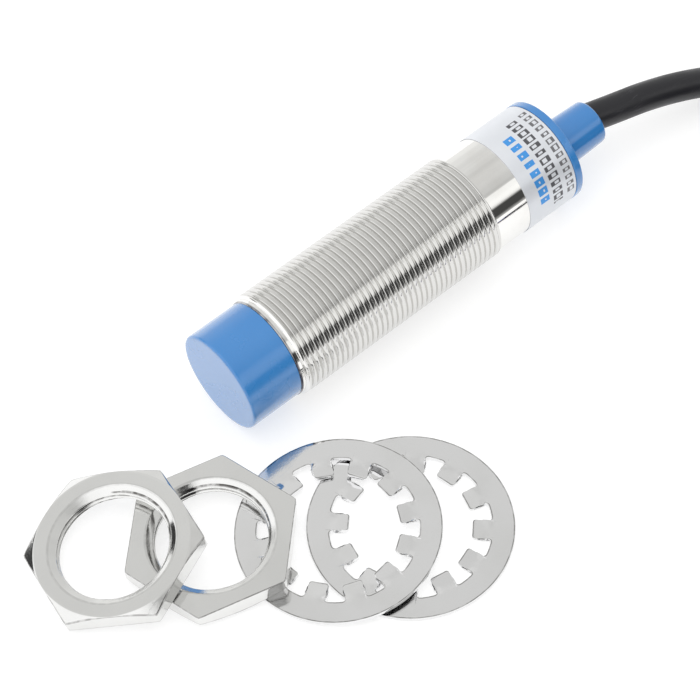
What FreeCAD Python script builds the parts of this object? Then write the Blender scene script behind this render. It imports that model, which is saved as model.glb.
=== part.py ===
import FreeCAD, Part

import math
import os

import Sketcher
from FreeCAD import Placement, Rotation, Vector

# An inductive proximity sensor in an M18 threaded barrel, with its cable, its two
# flat nuts and its two toothed washers lying loose beside it.
#
# Millimetres. The origin is the centre of the sensing face. +X runs along the
# barrel towards the cable, +Z is up. The barrel lies on its thread crests, so
# the surface under everything is at z = -thread_major_radius.

SIZES = {
    # threaded barrel
    "thread_major_radius": 9.0,
    "thread_pitch": 1.0,
    "thread_depth": 0.613,
    "thread_crest": 0.125,
    "thread_root": 0.25,
    "thread_turns": 39,
    "barrel_start": 9.2,
    "barrel_end": 65.4,
    "barrel_lip_radius": 8.5,
    "barrel_lip_length": 0.8,
    "barrel_smooth_radius": 8.7,
    "barrel_smooth_start": 49.4,
    "barrel_bore_radius": 7.65,
    # sensing cap
    "cap_radius": 8.36,
    "cap_wall": 0.9,
    "cap_edge": 0.35,
    "cap_neck_radius": 7.55,
    "cap_neck_end": 15.2,
    "cap_bore_radius": 6.95,
    # pot core, bobbin and winding
    "core_start": 0.95,
    "core_length": 4.8,
    "core_radius": 6.8,
    "core_groove_outer": 5.6,
    "core_post_radius": 2.9,
    "core_groove_depth": 3.6,
    "core_hole_radius": 1.0,
    "core_slot_width": 1.8,
    "bobbin_start": 1.05,
    "bobbin_length": 3.4,
    "bobbin_radius": 5.45,
    "bobbin_bore_radius": 3.0,
    "bobbin_wall": 0.35,
    "winding_radius": 5.25,
    "winding_gap": 0.03,
    # circuit board
    "board_start": 6.4,
    "board_length": 46.0,
    "board_width": 11.6,
    "board_thickness": 1.0,
    "pad_hole_radius": 0.5,
    # label
    "label_start": 55.6,
    "label_end": 65.3,
    "label_inner_radius": 8.72,
    "label_radius": 8.79,
    # rear cap
    "plug_start": 58.0,
    "plug_radius": 7.55,
    "flange_radius": 8.84,
    "flange_end": 66.8,
    "flange_edge": 0.25,
    "nose_base_radius": 4.75,
    "nose_tip_radius": 4.35,
    "nose_end": 76.1,
    "nose_edge": 0.6,
    "nose_flare": 0.3,
    "nose_flare_length": 1.0,
    "led_hole_radius": 1.05,
    # status light
    "led_radius": 1.0,
    "led_rim_radius": 1.25,
    "led_rim_length": 0.9,
    "led_start": 56.9,
    "led_dome_start": 66.4,
    "led_across": 5.0,
    "led_up": 3.5,
    # cable
    "cable_radius": 2.45,
    "cable_inner_start": 59.0,
    "lead_radius": 0.65,
    "conductor_radius": 0.38,
    "coil_lead_radius": 0.12,
    # coil of put-away cable
    "coil_x": 120.3,
    "coil_y": -45.0,
    "coil_mean_radius": 28.5,
    "coil_turns_across": 3,
    "coil_turns_up": 2,
    "coil_lift": 0.6,
    "tie_thickness": 0.5,
    "tie_width": 5.0,
    "tie_gap": 0.3,
    # nuts
    "nut_flats": 24.0,
    "nut_thickness": 3.2,
    "nut_minor_radius": 8.46,
    "nut_mouth_radius": 9.8,
    "nut_chamfer_radius": 12.0,
    "chamfer_slope": 0.577,
    # toothed washers
    "washer_radius": 15.6,
    "washer_thickness": 0.6,
    "washer_root_radius": 12.2,
    "washer_tip_radius": 9.25,
    "tooth_width": 3.0,
    "tooth_twist": 8.0,
    "tooth_count": 12,
    # resin
    "resin_start": 16.0,
    "resin_end": 49.6,
    "resin_radius": 7.55,
    "resin_gap": 0.05,
}

# Where each loose piece lies: x, y, the height of its middle above the surface, the
# slopes of its plane along x and y, and how far it is turned about its own axis.
LOOSE = {
    "right_washer": (8.57, -34.02, 0.52, 0.0, 0.0, 45.6),
    "left_washer": (-0.27, -27.77, 1.43, 0.0569, -0.0410, 32.4),
    "right_nut": (-15.84, -17.19, 2.37, 0.0509, -0.0339, 163.5),
    "left_nut": (-28.08, -9.60, 4.17, 0.1597, -0.0917, 140.0),
}

# The free cable's route, from the rear cap's nose to the coil, and from the coil to
# the stripped end.
CABLE_ROUTE = [
    (76.1, 0.0, 0.0),
    (80.6, -1.15, -0.25),
    (86.6, -2.3, -0.9),
    (93.6, -3.9, -2.5),
    (101.2, -6.0, -5.2),
    (109.4, -8.2, -6.45),
    (118.2, -10.3, -6.4),
    (126.7, -12.2, -5.95),
]
TAIL_ROUTE = [
    (120.3, -78.4, -1.05),
    (112.6, -78.3, -1.3),
    (104.6, -77.4, -3.3),
    (96.6, -75.9, -5.6),
    (88.4, -74.1, -6.5),
    (80.4, -71.6, -6.5),
]
# The three stripped leads leave the tail's end side by side: the angle of each one's
# seat in the jacket's end, and the rest of its route.
LEAD_TAILS = {
    "brown_lead_tail": (
        210,
        [(68.4, -66.4, -7.9), (61.5, -64.4, -8.3), (54.6, -64.6, -8.3), (48.4, -66.4, -8.3)],
    ),
    "blue_lead_tail": (
        90,
        [(68.0, -69.2, -7.6), (61.0, -69.8, -8.3), (54.4, -70.8, -8.3), (47.6, -70.4, -8.3)],
    ),
    "black_lead_tail": (
        330,
        [(68.6, -72.2, -7.9), (61.8, -74.6, -8.3), (55.0, -76.0, -8.3), (48.6, -75.2, -8.3)],
    ),
}
LEAD_START = 5.6
TIP_LENGTH = 6.0

# The coil's two ties: their angles round the coil.
TIE_ANGLES = (25, 205)

# Inside, the leads run from the jacket's end to the holes in the board's end.
BOARD_PADS = {"brown_lead_inside": 2.6, "blue_lead_inside": 0.0, "black_lead_inside": -2.6}
LEAD_HOLE_X = 50.9
LEAD_SEAT = 1.0
LEAD_END_GAP = 0.25

# The light's two legs: how far each lies beside the light's middle, and the x of its
# foot on the board. The resin leaves the legs a room: its lowest corner and its size.
LIGHT_LEGS = ((-0.6, 48.4), (0.6, 46.2))
LIGHT_LEG_RADIUS = 0.2
LEG_ROOM = ((45.4, 3.4, 0.0), (6.0, 3.4, 5.4))

# Solder on the board's lower side: base radius, top radius and height.
SOLDER_CONE = (0.95, 0.45, 0.6)

# Parts on the board: middle x, middle y, length, width, height.
# The upper side carries the first ones of each list, the lower side the others.
RESISTORS = [
    (13.0, 3.4, 1.6, 0.8, 0.45),
    (13.0, 1.6, 1.6, 0.8, 0.45),
    (25.6, 4.0, 1.6, 0.8, 0.45),
    (25.6, 2.2, 1.6, 0.8, 0.45),
    (29.2, -3.9, 1.6, 0.8, 0.45),
    (40.6, 3.8, 1.6, 0.8, 0.45),
    (40.6, 2.0, 1.6, 0.8, 0.45),
    (44.4, -3.6, 1.6, 0.8, 0.45),
]
CAPACITORS = [
    (10.2, -2.6, 2.0, 1.25, 0.9),
    (13.4, -2.6, 2.0, 1.25, 0.9),
    (26.0, -0.6, 2.0, 1.25, 0.9),
    (29.4, 2.4, 2.0, 1.25, 0.9),
    (44.6, 0.8, 2.0, 1.25, 0.9),
]
CONTROL_CHIP = (19.4, 0.0, 4.9, 3.9, 1.5)
OUTPUT_TRANSISTOR = (35.0, 0.0, 4.5, 2.5, 1.5)
DIODES = [
    (24.0, 0.0, 4.3, 2.6, 2.1),
    (38.0, 0.0, 4.3, 2.6, 2.1),
]

doc = FreeCAD.newDocument("proximity_sensor")
sheet = doc.addObject("Spreadsheet::Sheet", "Sizes")
for row, (alias, value) in enumerate(SIZES.items(), start=1):
    sheet.set(f"A{row}", alias)
    sheet.set(f"B{row}", str(value))
    sheet.setAlias(f"B{row}", alias)
doc.recompute()

parts = []


def size(alias):
    """A driving dimension as the sheet holds it."""
    return float(sheet.get(alias))


FLOOR = -size("thread_major_radius")
X, Z = Vector(1, 0, 0), Vector(0, 0, 1)


def keep(part, label, placement=None):
    """Name a finished sub-part, place it and put it on the list of files."""
    part.Label = label
    part.Placement = placement or Placement()
    parts.append(part)
    return part


# ---------------------------------------------------------------- sketching helpers


def plane(body, role):
    """One of a body's own origin planes."""
    return next(f for f in body.Origin.OriginFeatures if f.Role == role)


def new_sketch(body, name, role="XY_Plane", offset=0.0):
    sketch = body.newObject("Sketcher::SketchObject", name)
    sketch.AttachmentSupport = [(plane(body, role), "")]
    sketch.MapMode = "FlatFace"
    sketch.AttachmentOffset = Placement(Vector(0, 0, offset), Rotation())
    return sketch


def bind(sketch, axis, geometry, corner, formula):
    """Hold one coordinate of a sketch point at a formula of the sheet's sizes."""
    value = float(sketch.evalExpression(formula))
    if abs(value) < 1e-9:
        line = -2 if axis == "X" else -1
        sketch.addConstraint(Sketcher.Constraint("PointOnObject", geometry, corner, line))
        return
    rule = Sketcher.Constraint(f"Distance{axis}", -1, 1, geometry, corner, value)
    number = sketch.addConstraint(rule)
    sketch.setExpression(f"Constraints[{number}]", formula)


def outline(sketch, corners):
    """A closed outline of straight lines through corners, given as pairs of formulas."""
    values = [[float(sketch.evalExpression(f)) for f in corner] for corner in corners]
    points = [Vector(u, v, 0) for u, v in values]
    first = sketch.GeometryCount
    for start, end in zip(points, points[1:] + points[:1]):
        sketch.addGeometry(Part.LineSegment(start, end))
    count = len(points)
    for i in range(count):
        following = first + (i + 1) % count
        sketch.addConstraint(Sketcher.Constraint("Coincident", first + i, 2, following, 1))
    for i, (u, v) in enumerate(corners):
        bind(sketch, "X", first + i, 1, u)
        bind(sketch, "Y", first + i, 1, v)


def circle(sketch, radius, u="0", v="0"):
    """A circle of a radius formula about a point given by two formulas."""
    value = float(sketch.evalExpression(radius))
    middle = Vector(*[float(sketch.evalExpression(f)) for f in (u, v)], 0)
    geometry = sketch.addGeometry(Part.Circle(middle, Vector(0, 0, 1), value))
    number = sketch.addConstraint(Sketcher.Constraint("Radius", geometry, value))
    sketch.setExpression(f"Constraints[{number}]", radius)
    bind(sketch, "X", geometry, 3, u)
    bind(sketch, "Y", geometry, 3, v)


def sizes_in(formula):
    """Write a formula's bare size names as references to the sheet."""
    words = formula.replace("(", " ( ").replace(")", " ) ").split()
    return " ".join(f"Sizes.{word}" if word in SIZES else word for word in words)


def corners_of(text):
    """Corners written one per line as 'u, v', in size names."""
    lines = [line for line in text.strip().splitlines() if line.strip()]
    return [[sizes_in(half) for half in line.split(",")] for line in lines]


def turned(name, text):
    """A body turned about the X axis from an outline of (x, radius) corners."""
    body = doc.addObject("PartDesign::Body", name)
    sketch = new_sketch(body, name + "_profile")
    outline(sketch, corners_of(text))
    turn = body.newObject("PartDesign::Revolution", name + "_turn")
    turn.Profile = sketch
    turn.ReferenceAxis = (sketch, ["H_Axis"])
    turn.Angle = 360
    doc.recompute()
    return body


def cut(body, kind, name, sketch, **settings):
    """A Pocket or Groove that has to remove material."""
    before = body.Shape.Volume
    feature = body.newObject(f"PartDesign::{kind}", name)
    feature.Profile = sketch
    for key, value in settings.items():
        setattr(feature, key, value)
    doc.recompute()
    if body.Shape.Volume > before - 1e-6:
        raise RuntimeError(f"{name} cuts nothing")
    return feature


def pattern(body, kind, name, feature, **settings):
    repeat = body.newObject(f"PartDesign::{kind}", name)
    repeat.Originals = [feature]
    for key, value in settings.items():
        setattr(repeat, key, value)
    body.Tip = repeat
    doc.recompute()
    return repeat


def rounded(body, name, radius_alias, wanted):
    """Round the circular edges whose (x, radius) the function wanted accepts."""
    base, names = body.Tip, []
    for number, edge in enumerate(base.Shape.Edges, start=1):
        curve = edge.Curve
        if isinstance(curve, Part.Circle) and wanted(curve.Center.x, curve.Radius):
            names.append(f"Edge{number}")
    fillet = body.newObject("PartDesign::Fillet", name)
    fillet.Base = (base, names)
    fillet.setExpression("Radius", f"Sizes.{radius_alias}")
    doc.recompute()
    return fillet


def near(value, wanted):
    return abs(value - wanted) < 0.01


# ---------------------------------------------------------------- wires and cables


def rounded_route(points):
    """Straight runs joined by tangent arcs, and the radius of each arc.

    An arc's radius is 0.45 of its shorter run divided by the tangent of half the turn.
    """
    corners = [Vector(*p) for p in points]
    edges, radii, start = [], [], corners[0]
    for before, corner, after in zip(corners, corners[1:], corners[2:]):
        back, ahead = before - corner, after - corner
        reach = 0.45 * min(back.Length, ahead.Length)
        turn = math.pi - back.getAngle(ahead)
        radius = reach / math.tan(turn / 2)
        radii.append(radius)
        back.normalize()
        ahead.normalize()
        middle = back + ahead
        middle.normalize()
        to_middle = radius / math.cos(turn / 2)
        arc_start, arc_end = corner + back * reach, corner + ahead * reach
        arc_middle = corner + middle * (to_middle - radius)
        edges.append(Part.LineSegment(start, arc_start).toShape())
        edges.append(Part.Arc(arc_start, arc_middle, arc_end).toShape())
        start = arc_end
    edges.append(Part.LineSegment(start, corners[-1]).toShape())
    return Part.Wire(edges), radii


def tube(label, points, radius):
    """A round wire or cable of one radius along a route."""
    path, radii = rounded_route(points)
    first = Vector(*points[1]) - Vector(*points[0])
    section = Part.Wire([Part.Circle(Vector(*points[0]), first, radius).toShape()])
    solid = path.makePipeShell([section], True, True)
    wanted = math.pi * radius**2 * path.Length
    print(
        f"{label}: {path.Length:.1f} mm long, smallest arc {min(radii):.1f} mm,"
        f" volume over section times length {solid.Volume / wanted:.4f}"
    )
    if abs(solid.Volume / wanted - 1) > 0.01:
        raise RuntimeError(f"{label} has the wrong volume")
    return solid


def feature(label, shape):
    part = doc.addObject("Part::Feature", label)
    part.Shape = shape
    return keep(part, label)


# ---------------------------------------------------------------- sensing end


def sensing_cap():
    body = turned(
        "SensingCap",
        """
        0, 0
        0, cap_radius
        barrel_start - 0.02, cap_radius
        barrel_start - 0.02, cap_neck_radius
        cap_neck_end, cap_neck_radius
        cap_neck_end, cap_bore_radius
        cap_wall, cap_bore_radius
        cap_wall, 0
        """,
    )
    rounded(body, "CapEdge", "cap_edge", lambda x, r: near(x, 0) and near(r, size("cap_radius")))
    keep(body, "sensing_cap")


def ferrite_core():
    body = turned(
        "FerriteCore",
        """
        core_start, core_hole_radius
        core_start, core_post_radius
        core_start + core_groove_depth, core_post_radius
        core_start + core_groove_depth, core_groove_outer
        core_start, core_groove_outer
        core_start, core_radius
        core_start + core_length, core_radius
        core_start + core_length, core_hole_radius
        """,
    )
    slots = new_sketch(body, "CoreSlots", "YZ_Plane", size("core_start"))
    half, inner, outer = "core_slot_width / 2", "core_groove_outer - 0.5", "core_radius + 1"
    for side in ("", "-"):
        outline(
            slots,
            corners_of(
                f"""
                {side} ( {inner} ), - {half}
                {side} ( {outer} ), - {half}
                {side} ( {outer} ), {half}
                {side} ( {inner} ), {half}
                """
            ),
        )
    cut(body, "Pocket", "CoreSlotCut", slots, Reversed=True, Length=size("core_length") + 1)
    keep(body, "ferrite_core")


def coil_bobbin():
    keep(
        turned(
            "CoilBobbin",
            """
            bobbin_start, bobbin_bore_radius
            bobbin_start, bobbin_radius
            bobbin_start + bobbin_wall, bobbin_radius
            bobbin_start + bobbin_wall, bobbin_bore_radius + bobbin_wall
            bobbin_start + bobbin_length - bobbin_wall, bobbin_bore_radius + bobbin_wall
            bobbin_start + bobbin_length - bobbin_wall, bobbin_radius
            bobbin_start + bobbin_length, bobbin_radius
            bobbin_start + bobbin_length, bobbin_bore_radius
            """,
        ),
        "coil_bobbin",
    )


def coil_winding():
    inner = "bobbin_bore_radius + bobbin_wall + winding_gap"
    start = "bobbin_start + bobbin_wall + winding_gap"
    end = "bobbin_start + bobbin_length - bobbin_wall - winding_gap"
    keep(
        turned(
            "CoilWinding",
            f"""
            {start}, {inner}
            {start}, winding_radius
            {end}, winding_radius
            {end}, {inner}
            """,
        ),
        "coil_winding",
    )


def coil_leads():
    """The winding's two ends, out through the core's slots and back to the board."""
    radius = size("coil_lead_radius")
    height = size("board_thickness") / 2 + radius + 0.05
    wires = []
    for side in (1, -1):
        route = [
            (2.9, side * (size("winding_radius") + 0.05), height),
            (3.1, side * 6.1, height),
            (5.0, side * 6.2, height),
            (7.2, side * 6.0, height),
            (8.6, side * 5.0, height),
        ]
        wires.append(tube("coil_leads", route, radius))
    feature("coil_leads", Part.makeCompound(wires))


# ---------------------------------------------------------------- housing


def threaded_barrel():
    body = turned(
        "ThreadedBarrel",
        """
        barrel_start, barrel_bore_radius
        barrel_start, barrel_lip_radius
        barrel_start + barrel_lip_length, barrel_lip_radius
        barrel_start + barrel_lip_length, thread_major_radius
        barrel_smooth_start, thread_major_radius
        barrel_smooth_start, barrel_smooth_radius
        barrel_end, barrel_smooth_radius
        barrel_end, barrel_bore_radius
        """,
    )
    sketch = new_sketch(body, "ThreadGroove")
    middle = "barrel_start + barrel_lip_length + thread_pitch / 2"
    root = "thread_major_radius - thread_depth"
    mouth = "( thread_pitch - thread_crest ) / 2"
    flank = "( thread_pitch - thread_crest - thread_root ) / 2 / thread_depth"
    outline(
        sketch,
        corners_of(
            f"""
            {middle} - thread_root / 2, {root}
            {middle} + thread_root / 2, {root}
            {middle} + {mouth} + 0.1 * {flank}, thread_major_radius + 0.1
            {middle} - {mouth} - 0.1 * {flank}, thread_major_radius + 0.1
            """
        ),
    )
    groove = cut(
        body, "Groove", "ThreadCut", sketch, ReferenceAxis=(sketch, ["H_Axis"]), Angle=360
    )
    turns = pattern(
        body,
        "LinearPattern",
        "ThreadTurns",
        groove,
        Direction=(sketch, ["H_Axis"]),
        Length=(size("thread_turns") - 1) * size("thread_pitch"),
        Occurrences=int(size("thread_turns")),
    )
    turns.setExpression("Length", "(Sizes.thread_turns - 1) * Sizes.thread_pitch")
    turns.setExpression("Occurrences", "Sizes.thread_turns")
    keep(body, "threaded_barrel")


def label_sleeve():
    keep(
        turned(
            "LabelSleeve",
            """
            label_start, label_inner_radius
            label_start, label_radius
            label_end, label_radius
            label_end, label_inner_radius
            """,
        ),
        "label_sleeve",
    )


def rear_cap():
    bore = "cable_radius + 0.05"
    body = turned(
        "RearCap",
        f"""
        plug_start, {bore}
        plug_start, plug_radius
        barrel_end + 0.02, plug_radius
        barrel_end + 0.02, flange_radius
        flange_end, flange_radius
        flange_end, nose_base_radius
        nose_end, nose_tip_radius
        nose_end, {bore} + nose_flare
        nose_end - nose_flare_length, {bore}
        """,
    )
    hole = new_sketch(body, "LightHole", "YZ_Plane", size("plug_start") - 1)
    circle(hole, *[sizes_in(f) for f in ("led_hole_radius", "led_across", "led_up")])
    length = size("flange_end") - size("plug_start") + 2
    cut(body, "Pocket", "LightHoleCut", hole, Reversed=True, Length=length)
    rounded(
        body,
        "FlangeEdges",
        "flange_edge",
        lambda x, r: near(r, size("flange_radius")),
    )
    rounded(
        body,
        "NoseEdge",
        "nose_edge",
        lambda x, r: near(x, size("nose_end")) and near(r, size("nose_tip_radius")),
    )
    keep(body, "rear_cap")


def status_led():
    """A dome light lying along X, its dome just proud of the rear cap's flange."""
    body = doc.addObject("PartDesign::Body", "StatusLed")
    sketch = new_sketch(body, "LedProfile")
    start, rim_end, dome = (size(k) for k in ("led_start", "led_rim_length", "led_dome_start"))
    radius, rim = size("led_radius"), size("led_rim_radius")
    corners = [
        Vector(start, 0),
        Vector(start, rim),
        Vector(start + rim_end, rim),
        Vector(start + rim_end, radius),
        Vector(dome, radius),
    ]
    tip = Vector(dome + radius, 0)
    for a, b in zip(corners, corners[1:]):
        sketch.addGeometry(Part.LineSegment(a, b))
    dome_circle = Part.Circle(Vector(dome, 0), Vector(0, 0, 1), radius)
    sketch.addGeometry(Part.ArcOfCircle(dome_circle, 0, math.pi / 2))
    sketch.addGeometry(Part.LineSegment(tip, corners[0]))
    joined = [(0, 2, 1, 1), (1, 2, 2, 1), (2, 2, 3, 1), (3, 2, 4, 2), (4, 1, 5, 1), (5, 2, 0, 1)]
    for link in joined:
        sketch.addConstraint(Sketcher.Constraint("Coincident", *link))
    sketch.addConstraint(Sketcher.Constraint("PointOnObject", 4, 3, -1))
    sketch.addConstraint(Sketcher.Constraint("PointOnObject", 4, 1, -1))
    formulas = [
        ("led_start", "0"),
        ("led_start", "led_rim_radius"),
        ("led_start + led_rim_length", "led_rim_radius"),
        ("led_start + led_rim_length", "led_radius"),
    ]
    for number, (u, v) in enumerate(formulas):
        bind(sketch, "X", number, 1, sizes_in(u))
        bind(sketch, "Y", number, 1, sizes_in(v))
    bind(sketch, "X", 4, 3, sizes_in("led_dome_start"))
    bind(sketch, "Y", 3, 2, sizes_in("led_radius"))
    turn = body.newObject("PartDesign::Revolution", "LedTurn")
    turn.Profile = sketch
    turn.ReferenceAxis = (sketch, ["H_Axis"])
    turn.Angle = 360
    place = Placement(Vector(0, size("led_across"), size("led_up")), Rotation())
    keep(body, "status_led", place)


def led_leads():
    """The light's two legs, bent down to the board's upper side."""
    legs = []
    back, up, across = size("led_start"), size("led_up"), size("led_across")
    for side, spot_x in LIGHT_LEGS:
        route = [
            (back, across + side, up),
            (back - 2.4, across + side, up),
            (spot_x + 1.4, 4.6, 2.6),
            (spot_x, 4.6, size("board_thickness") / 2 + LEAD_END_GAP),
        ]
        legs.append(tube("led_leads", route, LIGHT_LEG_RADIUS))
    feature("led_leads", Part.makeCompound(legs))


# ---------------------------------------------------------------- circuit board


def circuit_board():
    body = doc.addObject("PartDesign::Body", "CircuitBoard")
    sketch = new_sketch(body, "BoardOutline")
    outline(
        sketch,
        corners_of(
            """
            board_start, - board_width / 2
            board_start + board_length, - board_width / 2
            board_start + board_length, board_width / 2
            board_start, board_width / 2
            """
        ),
    )
    pad = body.newObject("PartDesign::Pad", "BoardPad")
    pad.Profile = sketch
    pad.Midplane = True
    pad.setExpression("Length", "Sizes.board_thickness")
    doc.recompute()
    holes = new_sketch(body, "LeadHoles")
    for across in BOARD_PADS.values():
        circle(holes, "Sizes.pad_hole_radius", str(LEAD_HOLE_X), str(across))
    cut(body, "Pocket", "LeadHoleCut", holes, Midplane=True, Length=4.0)
    keep(body, "circuit_board")


def chip_box(name, place, side, grown=0.0):
    """The block of one part on the board, lying on the upper (+1) or lower (-1) side."""
    x, y, length, width, height = place
    box = doc.addObject("Part::Box", name)
    box.Length, box.Width, box.Height = length + 2 * grown, width + 2 * grown, height + 2 * grown
    surface = size("board_thickness") / 2
    low = surface if side > 0 else -surface - height
    corner = Vector(x - length / 2 - grown, y - width / 2 - grown, low - grown)
    box.Placement = Placement(corner, Rotation())
    return box


def group(label, members):
    """Several separate solids in one sub-part."""
    joined = doc.addObject("Part::Compound", label)
    joined.Links = members
    return keep(joined, label)


def board_parts():
    """Resistors, capacitors, diodes, the control chip and the output transistor."""
    resistors = [chip_box(f"Resistor{i}", p, 1) for i, p in enumerate(RESISTORS)]
    group("chip_resistors", resistors)
    group("chip_capacitors", [chip_box(f"Capacitor{i}", p, 1) for i, p in enumerate(CAPACITORS)])
    group("protection_diodes", [chip_box(f"Diode{i}", p, -1) for i, p in enumerate(DIODES)])
    keep_place(chip_box("ControlChip", CONTROL_CHIP, 1), "control_chip")
    keep_place(chip_box("OutputTransistor", OUTPUT_TRANSISTOR, 1), "output_transistor")


def keep_place(part, label):
    """Keep a part where its own making put it."""
    return keep(part, label, part.Placement)


def pins(label, place, spots, reach, width):
    """Metal legs beside a chip: each a foot on the board and a riser up the chip's side."""
    x, y, _, body_width, body_height = place
    thickness = 0.2
    members = []
    for side in (1, -1):
        for number, offset in enumerate(spots[side]):
            name = f"{label}_{'upper' if side > 0 else 'lower'}_{number}"
            pieces = []
            extents = {"foot": (reach, thickness), "riser": (thickness, body_height / 2)}
            for piece, (deep, tall) in extents.items():
                box = doc.addObject("Part::Box", f"{name}_{piece}")
                box.Length, box.Width, box.Height = width, deep, tall
                low_y = y + side * (body_width / 2 + 0.02) - (deep if side < 0 else 0)
                corner = Vector(x + offset - width / 2, low_y, size("board_thickness") / 2)
                box.Placement = Placement(corner, Rotation())
                pieces.append(box)
            leg = doc.addObject("Part::MultiFuse", name)
            leg.Shapes = pieces
            members.append(leg)
    group(label, members)


def solder_joints():
    """A small cone of solder on each lead, on the side of the board that it leaves."""
    cones = []
    half = size("board_thickness") / 2
    for number, across in enumerate(BOARD_PADS.values()):
        cone = doc.addObject("Part::Cone", f"LeadSolder{number}")
        cone.Radius1, cone.Radius2, cone.Height = SOLDER_CONE
        cone.Placement = Placement(Vector(LEAD_HOLE_X, across, -half), Rotation(X, 180))
        cones.append(cone)
    group("solder_joints", cones)


def inner_leads():
    """The cable's three leads inside the sensor, from the jacket's end to the board."""
    radius = size("lead_radius")
    start = size("cable_inner_start")
    seats = [(math.pi / 2 + k * 2 * math.pi / 3) for k in range(3)]
    order = {"brown_lead_inside": 2, "blue_lead_inside": 0, "black_lead_inside": 1}
    half = size("board_thickness") / 2
    for label, across in BOARD_PADS.items():
        angle = seats[order[label]]
        y0, z0 = LEAD_SEAT * math.cos(angle), LEAD_SEAT * math.sin(angle)
        route = [
            (start, y0, z0),
            (start - 2.0, y0, z0),
            (start - 5.2, across, 2.6),
            (LEAD_HOLE_X + 0.2, across, 2.2),
            (LEAD_HOLE_X, across, half + LEAD_END_GAP),
        ]
        feature(label, tube(label, route, radius))


def potting_resin():
    """The resin that fills the barrel round the board and the parts on it."""
    gap = size("resin_gap")
    block = doc.addObject("Part::Cylinder", "ResinBlock")
    block.setExpression("Radius", "Sizes.resin_radius")
    block.setExpression("Height", "Sizes.resin_end - Sizes.resin_start")
    block.Placement = Placement(Vector(size("resin_start"), 0, 0), Rotation(Vector(0, 1, 0), 90))
    board = doc.addObject("Part::Box", "BoardRoom")
    board.Length = size("board_length") + 4
    board.Width = size("board_width") + 2 * gap
    board.Height = size("board_thickness") + 2 * gap
    corner = Vector(size("board_start") - 2, -board.Width.Value / 2, -board.Height.Value / 2)
    board.Placement = Placement(corner, Rotation())
    rooms = [board]
    upper = [p for p in RESISTORS + CAPACITORS if p[0] > size("resin_start")]
    upper += [widened(CONTROL_CHIP, 1.3), widened(OUTPUT_TRANSISTOR, 1.3)]
    rooms += [chip_box(f"UpperRoom{i}", p, 1, gap) for i, p in enumerate(upper)]
    rooms += [chip_box(f"LowerRoom{i}", p, -1, gap) for i, p in enumerate(DIODES)]
    legs = doc.addObject("Part::Box", "LightLegRoom")
    leg_corner, (legs.Length, legs.Width, legs.Height) = LEG_ROOM
    legs.Placement = Placement(Vector(*leg_corner), Rotation())
    rooms.append(legs)
    room = doc.addObject("Part::MultiFuse", "ResinRoom")
    room.Shapes = rooms
    resin = doc.addObject("Part::Cut", "PottingResin")
    resin.Base, resin.Tool = block, room
    keep(resin, "potting_resin")


def widened(place, extra):
    """A part's block with room for the legs on its two long sides."""
    x, y, length, width, height = place
    return (x, y, length, width + 2 * extra, height)


# ---------------------------------------------------------------- cable


def cable_inner_end():
    keep(
        turned(
            "CableInnerEnd",
            """
            cable_inner_start, 0
            cable_inner_start, cable_radius
            nose_end, cable_radius
            nose_end, 0
            """,
        ),
        "cable_inner_end",
    )


def coil_half(alias):
    """Half the coil's width across its turns, or half its height."""
    return size(alias) * size("cable_radius")


def cable_coil():
    """The outer shape of the coil: a ring of square section round all the turns."""
    body = doc.addObject("PartDesign::Body", "CableCoil")
    sketch = new_sketch(body, "CoilSection", "XZ_Plane")
    inner = "coil_mean_radius - coil_turns_across * cable_radius"
    outer = "coil_mean_radius + coil_turns_across * cable_radius"
    top = "coil_lift + 2 * coil_turns_up * cable_radius"
    outline(
        sketch,
        corners_of(
            f"""
            {inner}, coil_lift
            {outer}, coil_lift
            {outer}, {top}
            {inner}, {top}
            """
        ),
    )
    turn = body.newObject("PartDesign::Revolution", "CoilTurn")
    turn.Profile = sketch
    turn.ReferenceAxis = (sketch, ["V_Axis"])
    turn.Angle = 360
    place = Placement(Vector(size("coil_x"), size("coil_y"), FLOOR), Rotation())
    keep(body, "cable_coil", place)


def coil_ties():
    """Two flat bands round the coil's section, which also lift it off the surface."""
    gap, thick, wide = size("tie_gap"), size("tie_thickness"), size("tie_width")
    half = coil_half("coil_turns_across")
    mean = size("coil_mean_radius")
    top = size("coil_lift") + 2 * coil_half("coil_turns_up")
    bands = []
    for angle in TIE_ANGLES:
        outer = Part.makeBox(
            2 * (half + gap + thick),
            wide,
            top + 0.1 + thick,
            Vector(mean - half - gap - thick, -wide / 2, 0),
        )
        inner = Part.makeBox(
            2 * (half + gap),
            wide + 2,
            top + 0.1 - thick,
            Vector(mean - half - gap, -wide / 2 - 1, thick),
        )
        band = outer.cut(inner)
        band.rotate(Vector(), Z, angle)
        band.translate(Vector(size("coil_x"), size("coil_y"), FLOOR))
        bands.append(band)
    feature("coil_ties", Part.makeCompound(bands))


def lead_tails():
    """The three stripped leads at the cable's far end, and their tinned tips."""
    end = Vector(*TAIL_ROUTE[-1])
    along = (end - Vector(*TAIL_ROUTE[-2])).normalize()
    across = Z.cross(along).normalize()
    up = along.cross(across)
    tips = []
    for label, (angle, rest) in LEAD_TAILS.items():
        turn = math.radians(angle)
        seat = end + across * (LEAD_SEAT * math.cos(turn)) + up * (LEAD_SEAT * math.sin(turn))
        route = [tuple(seat), tuple(seat + along * LEAD_START), *rest]
        feature(label, tube(label, route, size("lead_radius")))
        last = Vector(*route[-1])
        ahead = last - Vector(*route[-2])
        tips.append(Part.makeCylinder(size("conductor_radius"), TIP_LENGTH, last, ahead))
    feature("tinned_tips", Part.makeCompound(tips))


# ---------------------------------------------------------------- loose nuts and washers


def loose_place(label):
    """A loose piece's Placement: its plane tilted to its slopes, then its own turn."""
    x, y, height, slope_x, slope_y, turn = LOOSE[label]
    tilt = Rotation(Z, Vector(-slope_x, -slope_y, 1))
    return Placement(Vector(x, y, FLOOR + height), tilt.multiply(Rotation(Z, turn)))


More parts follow.
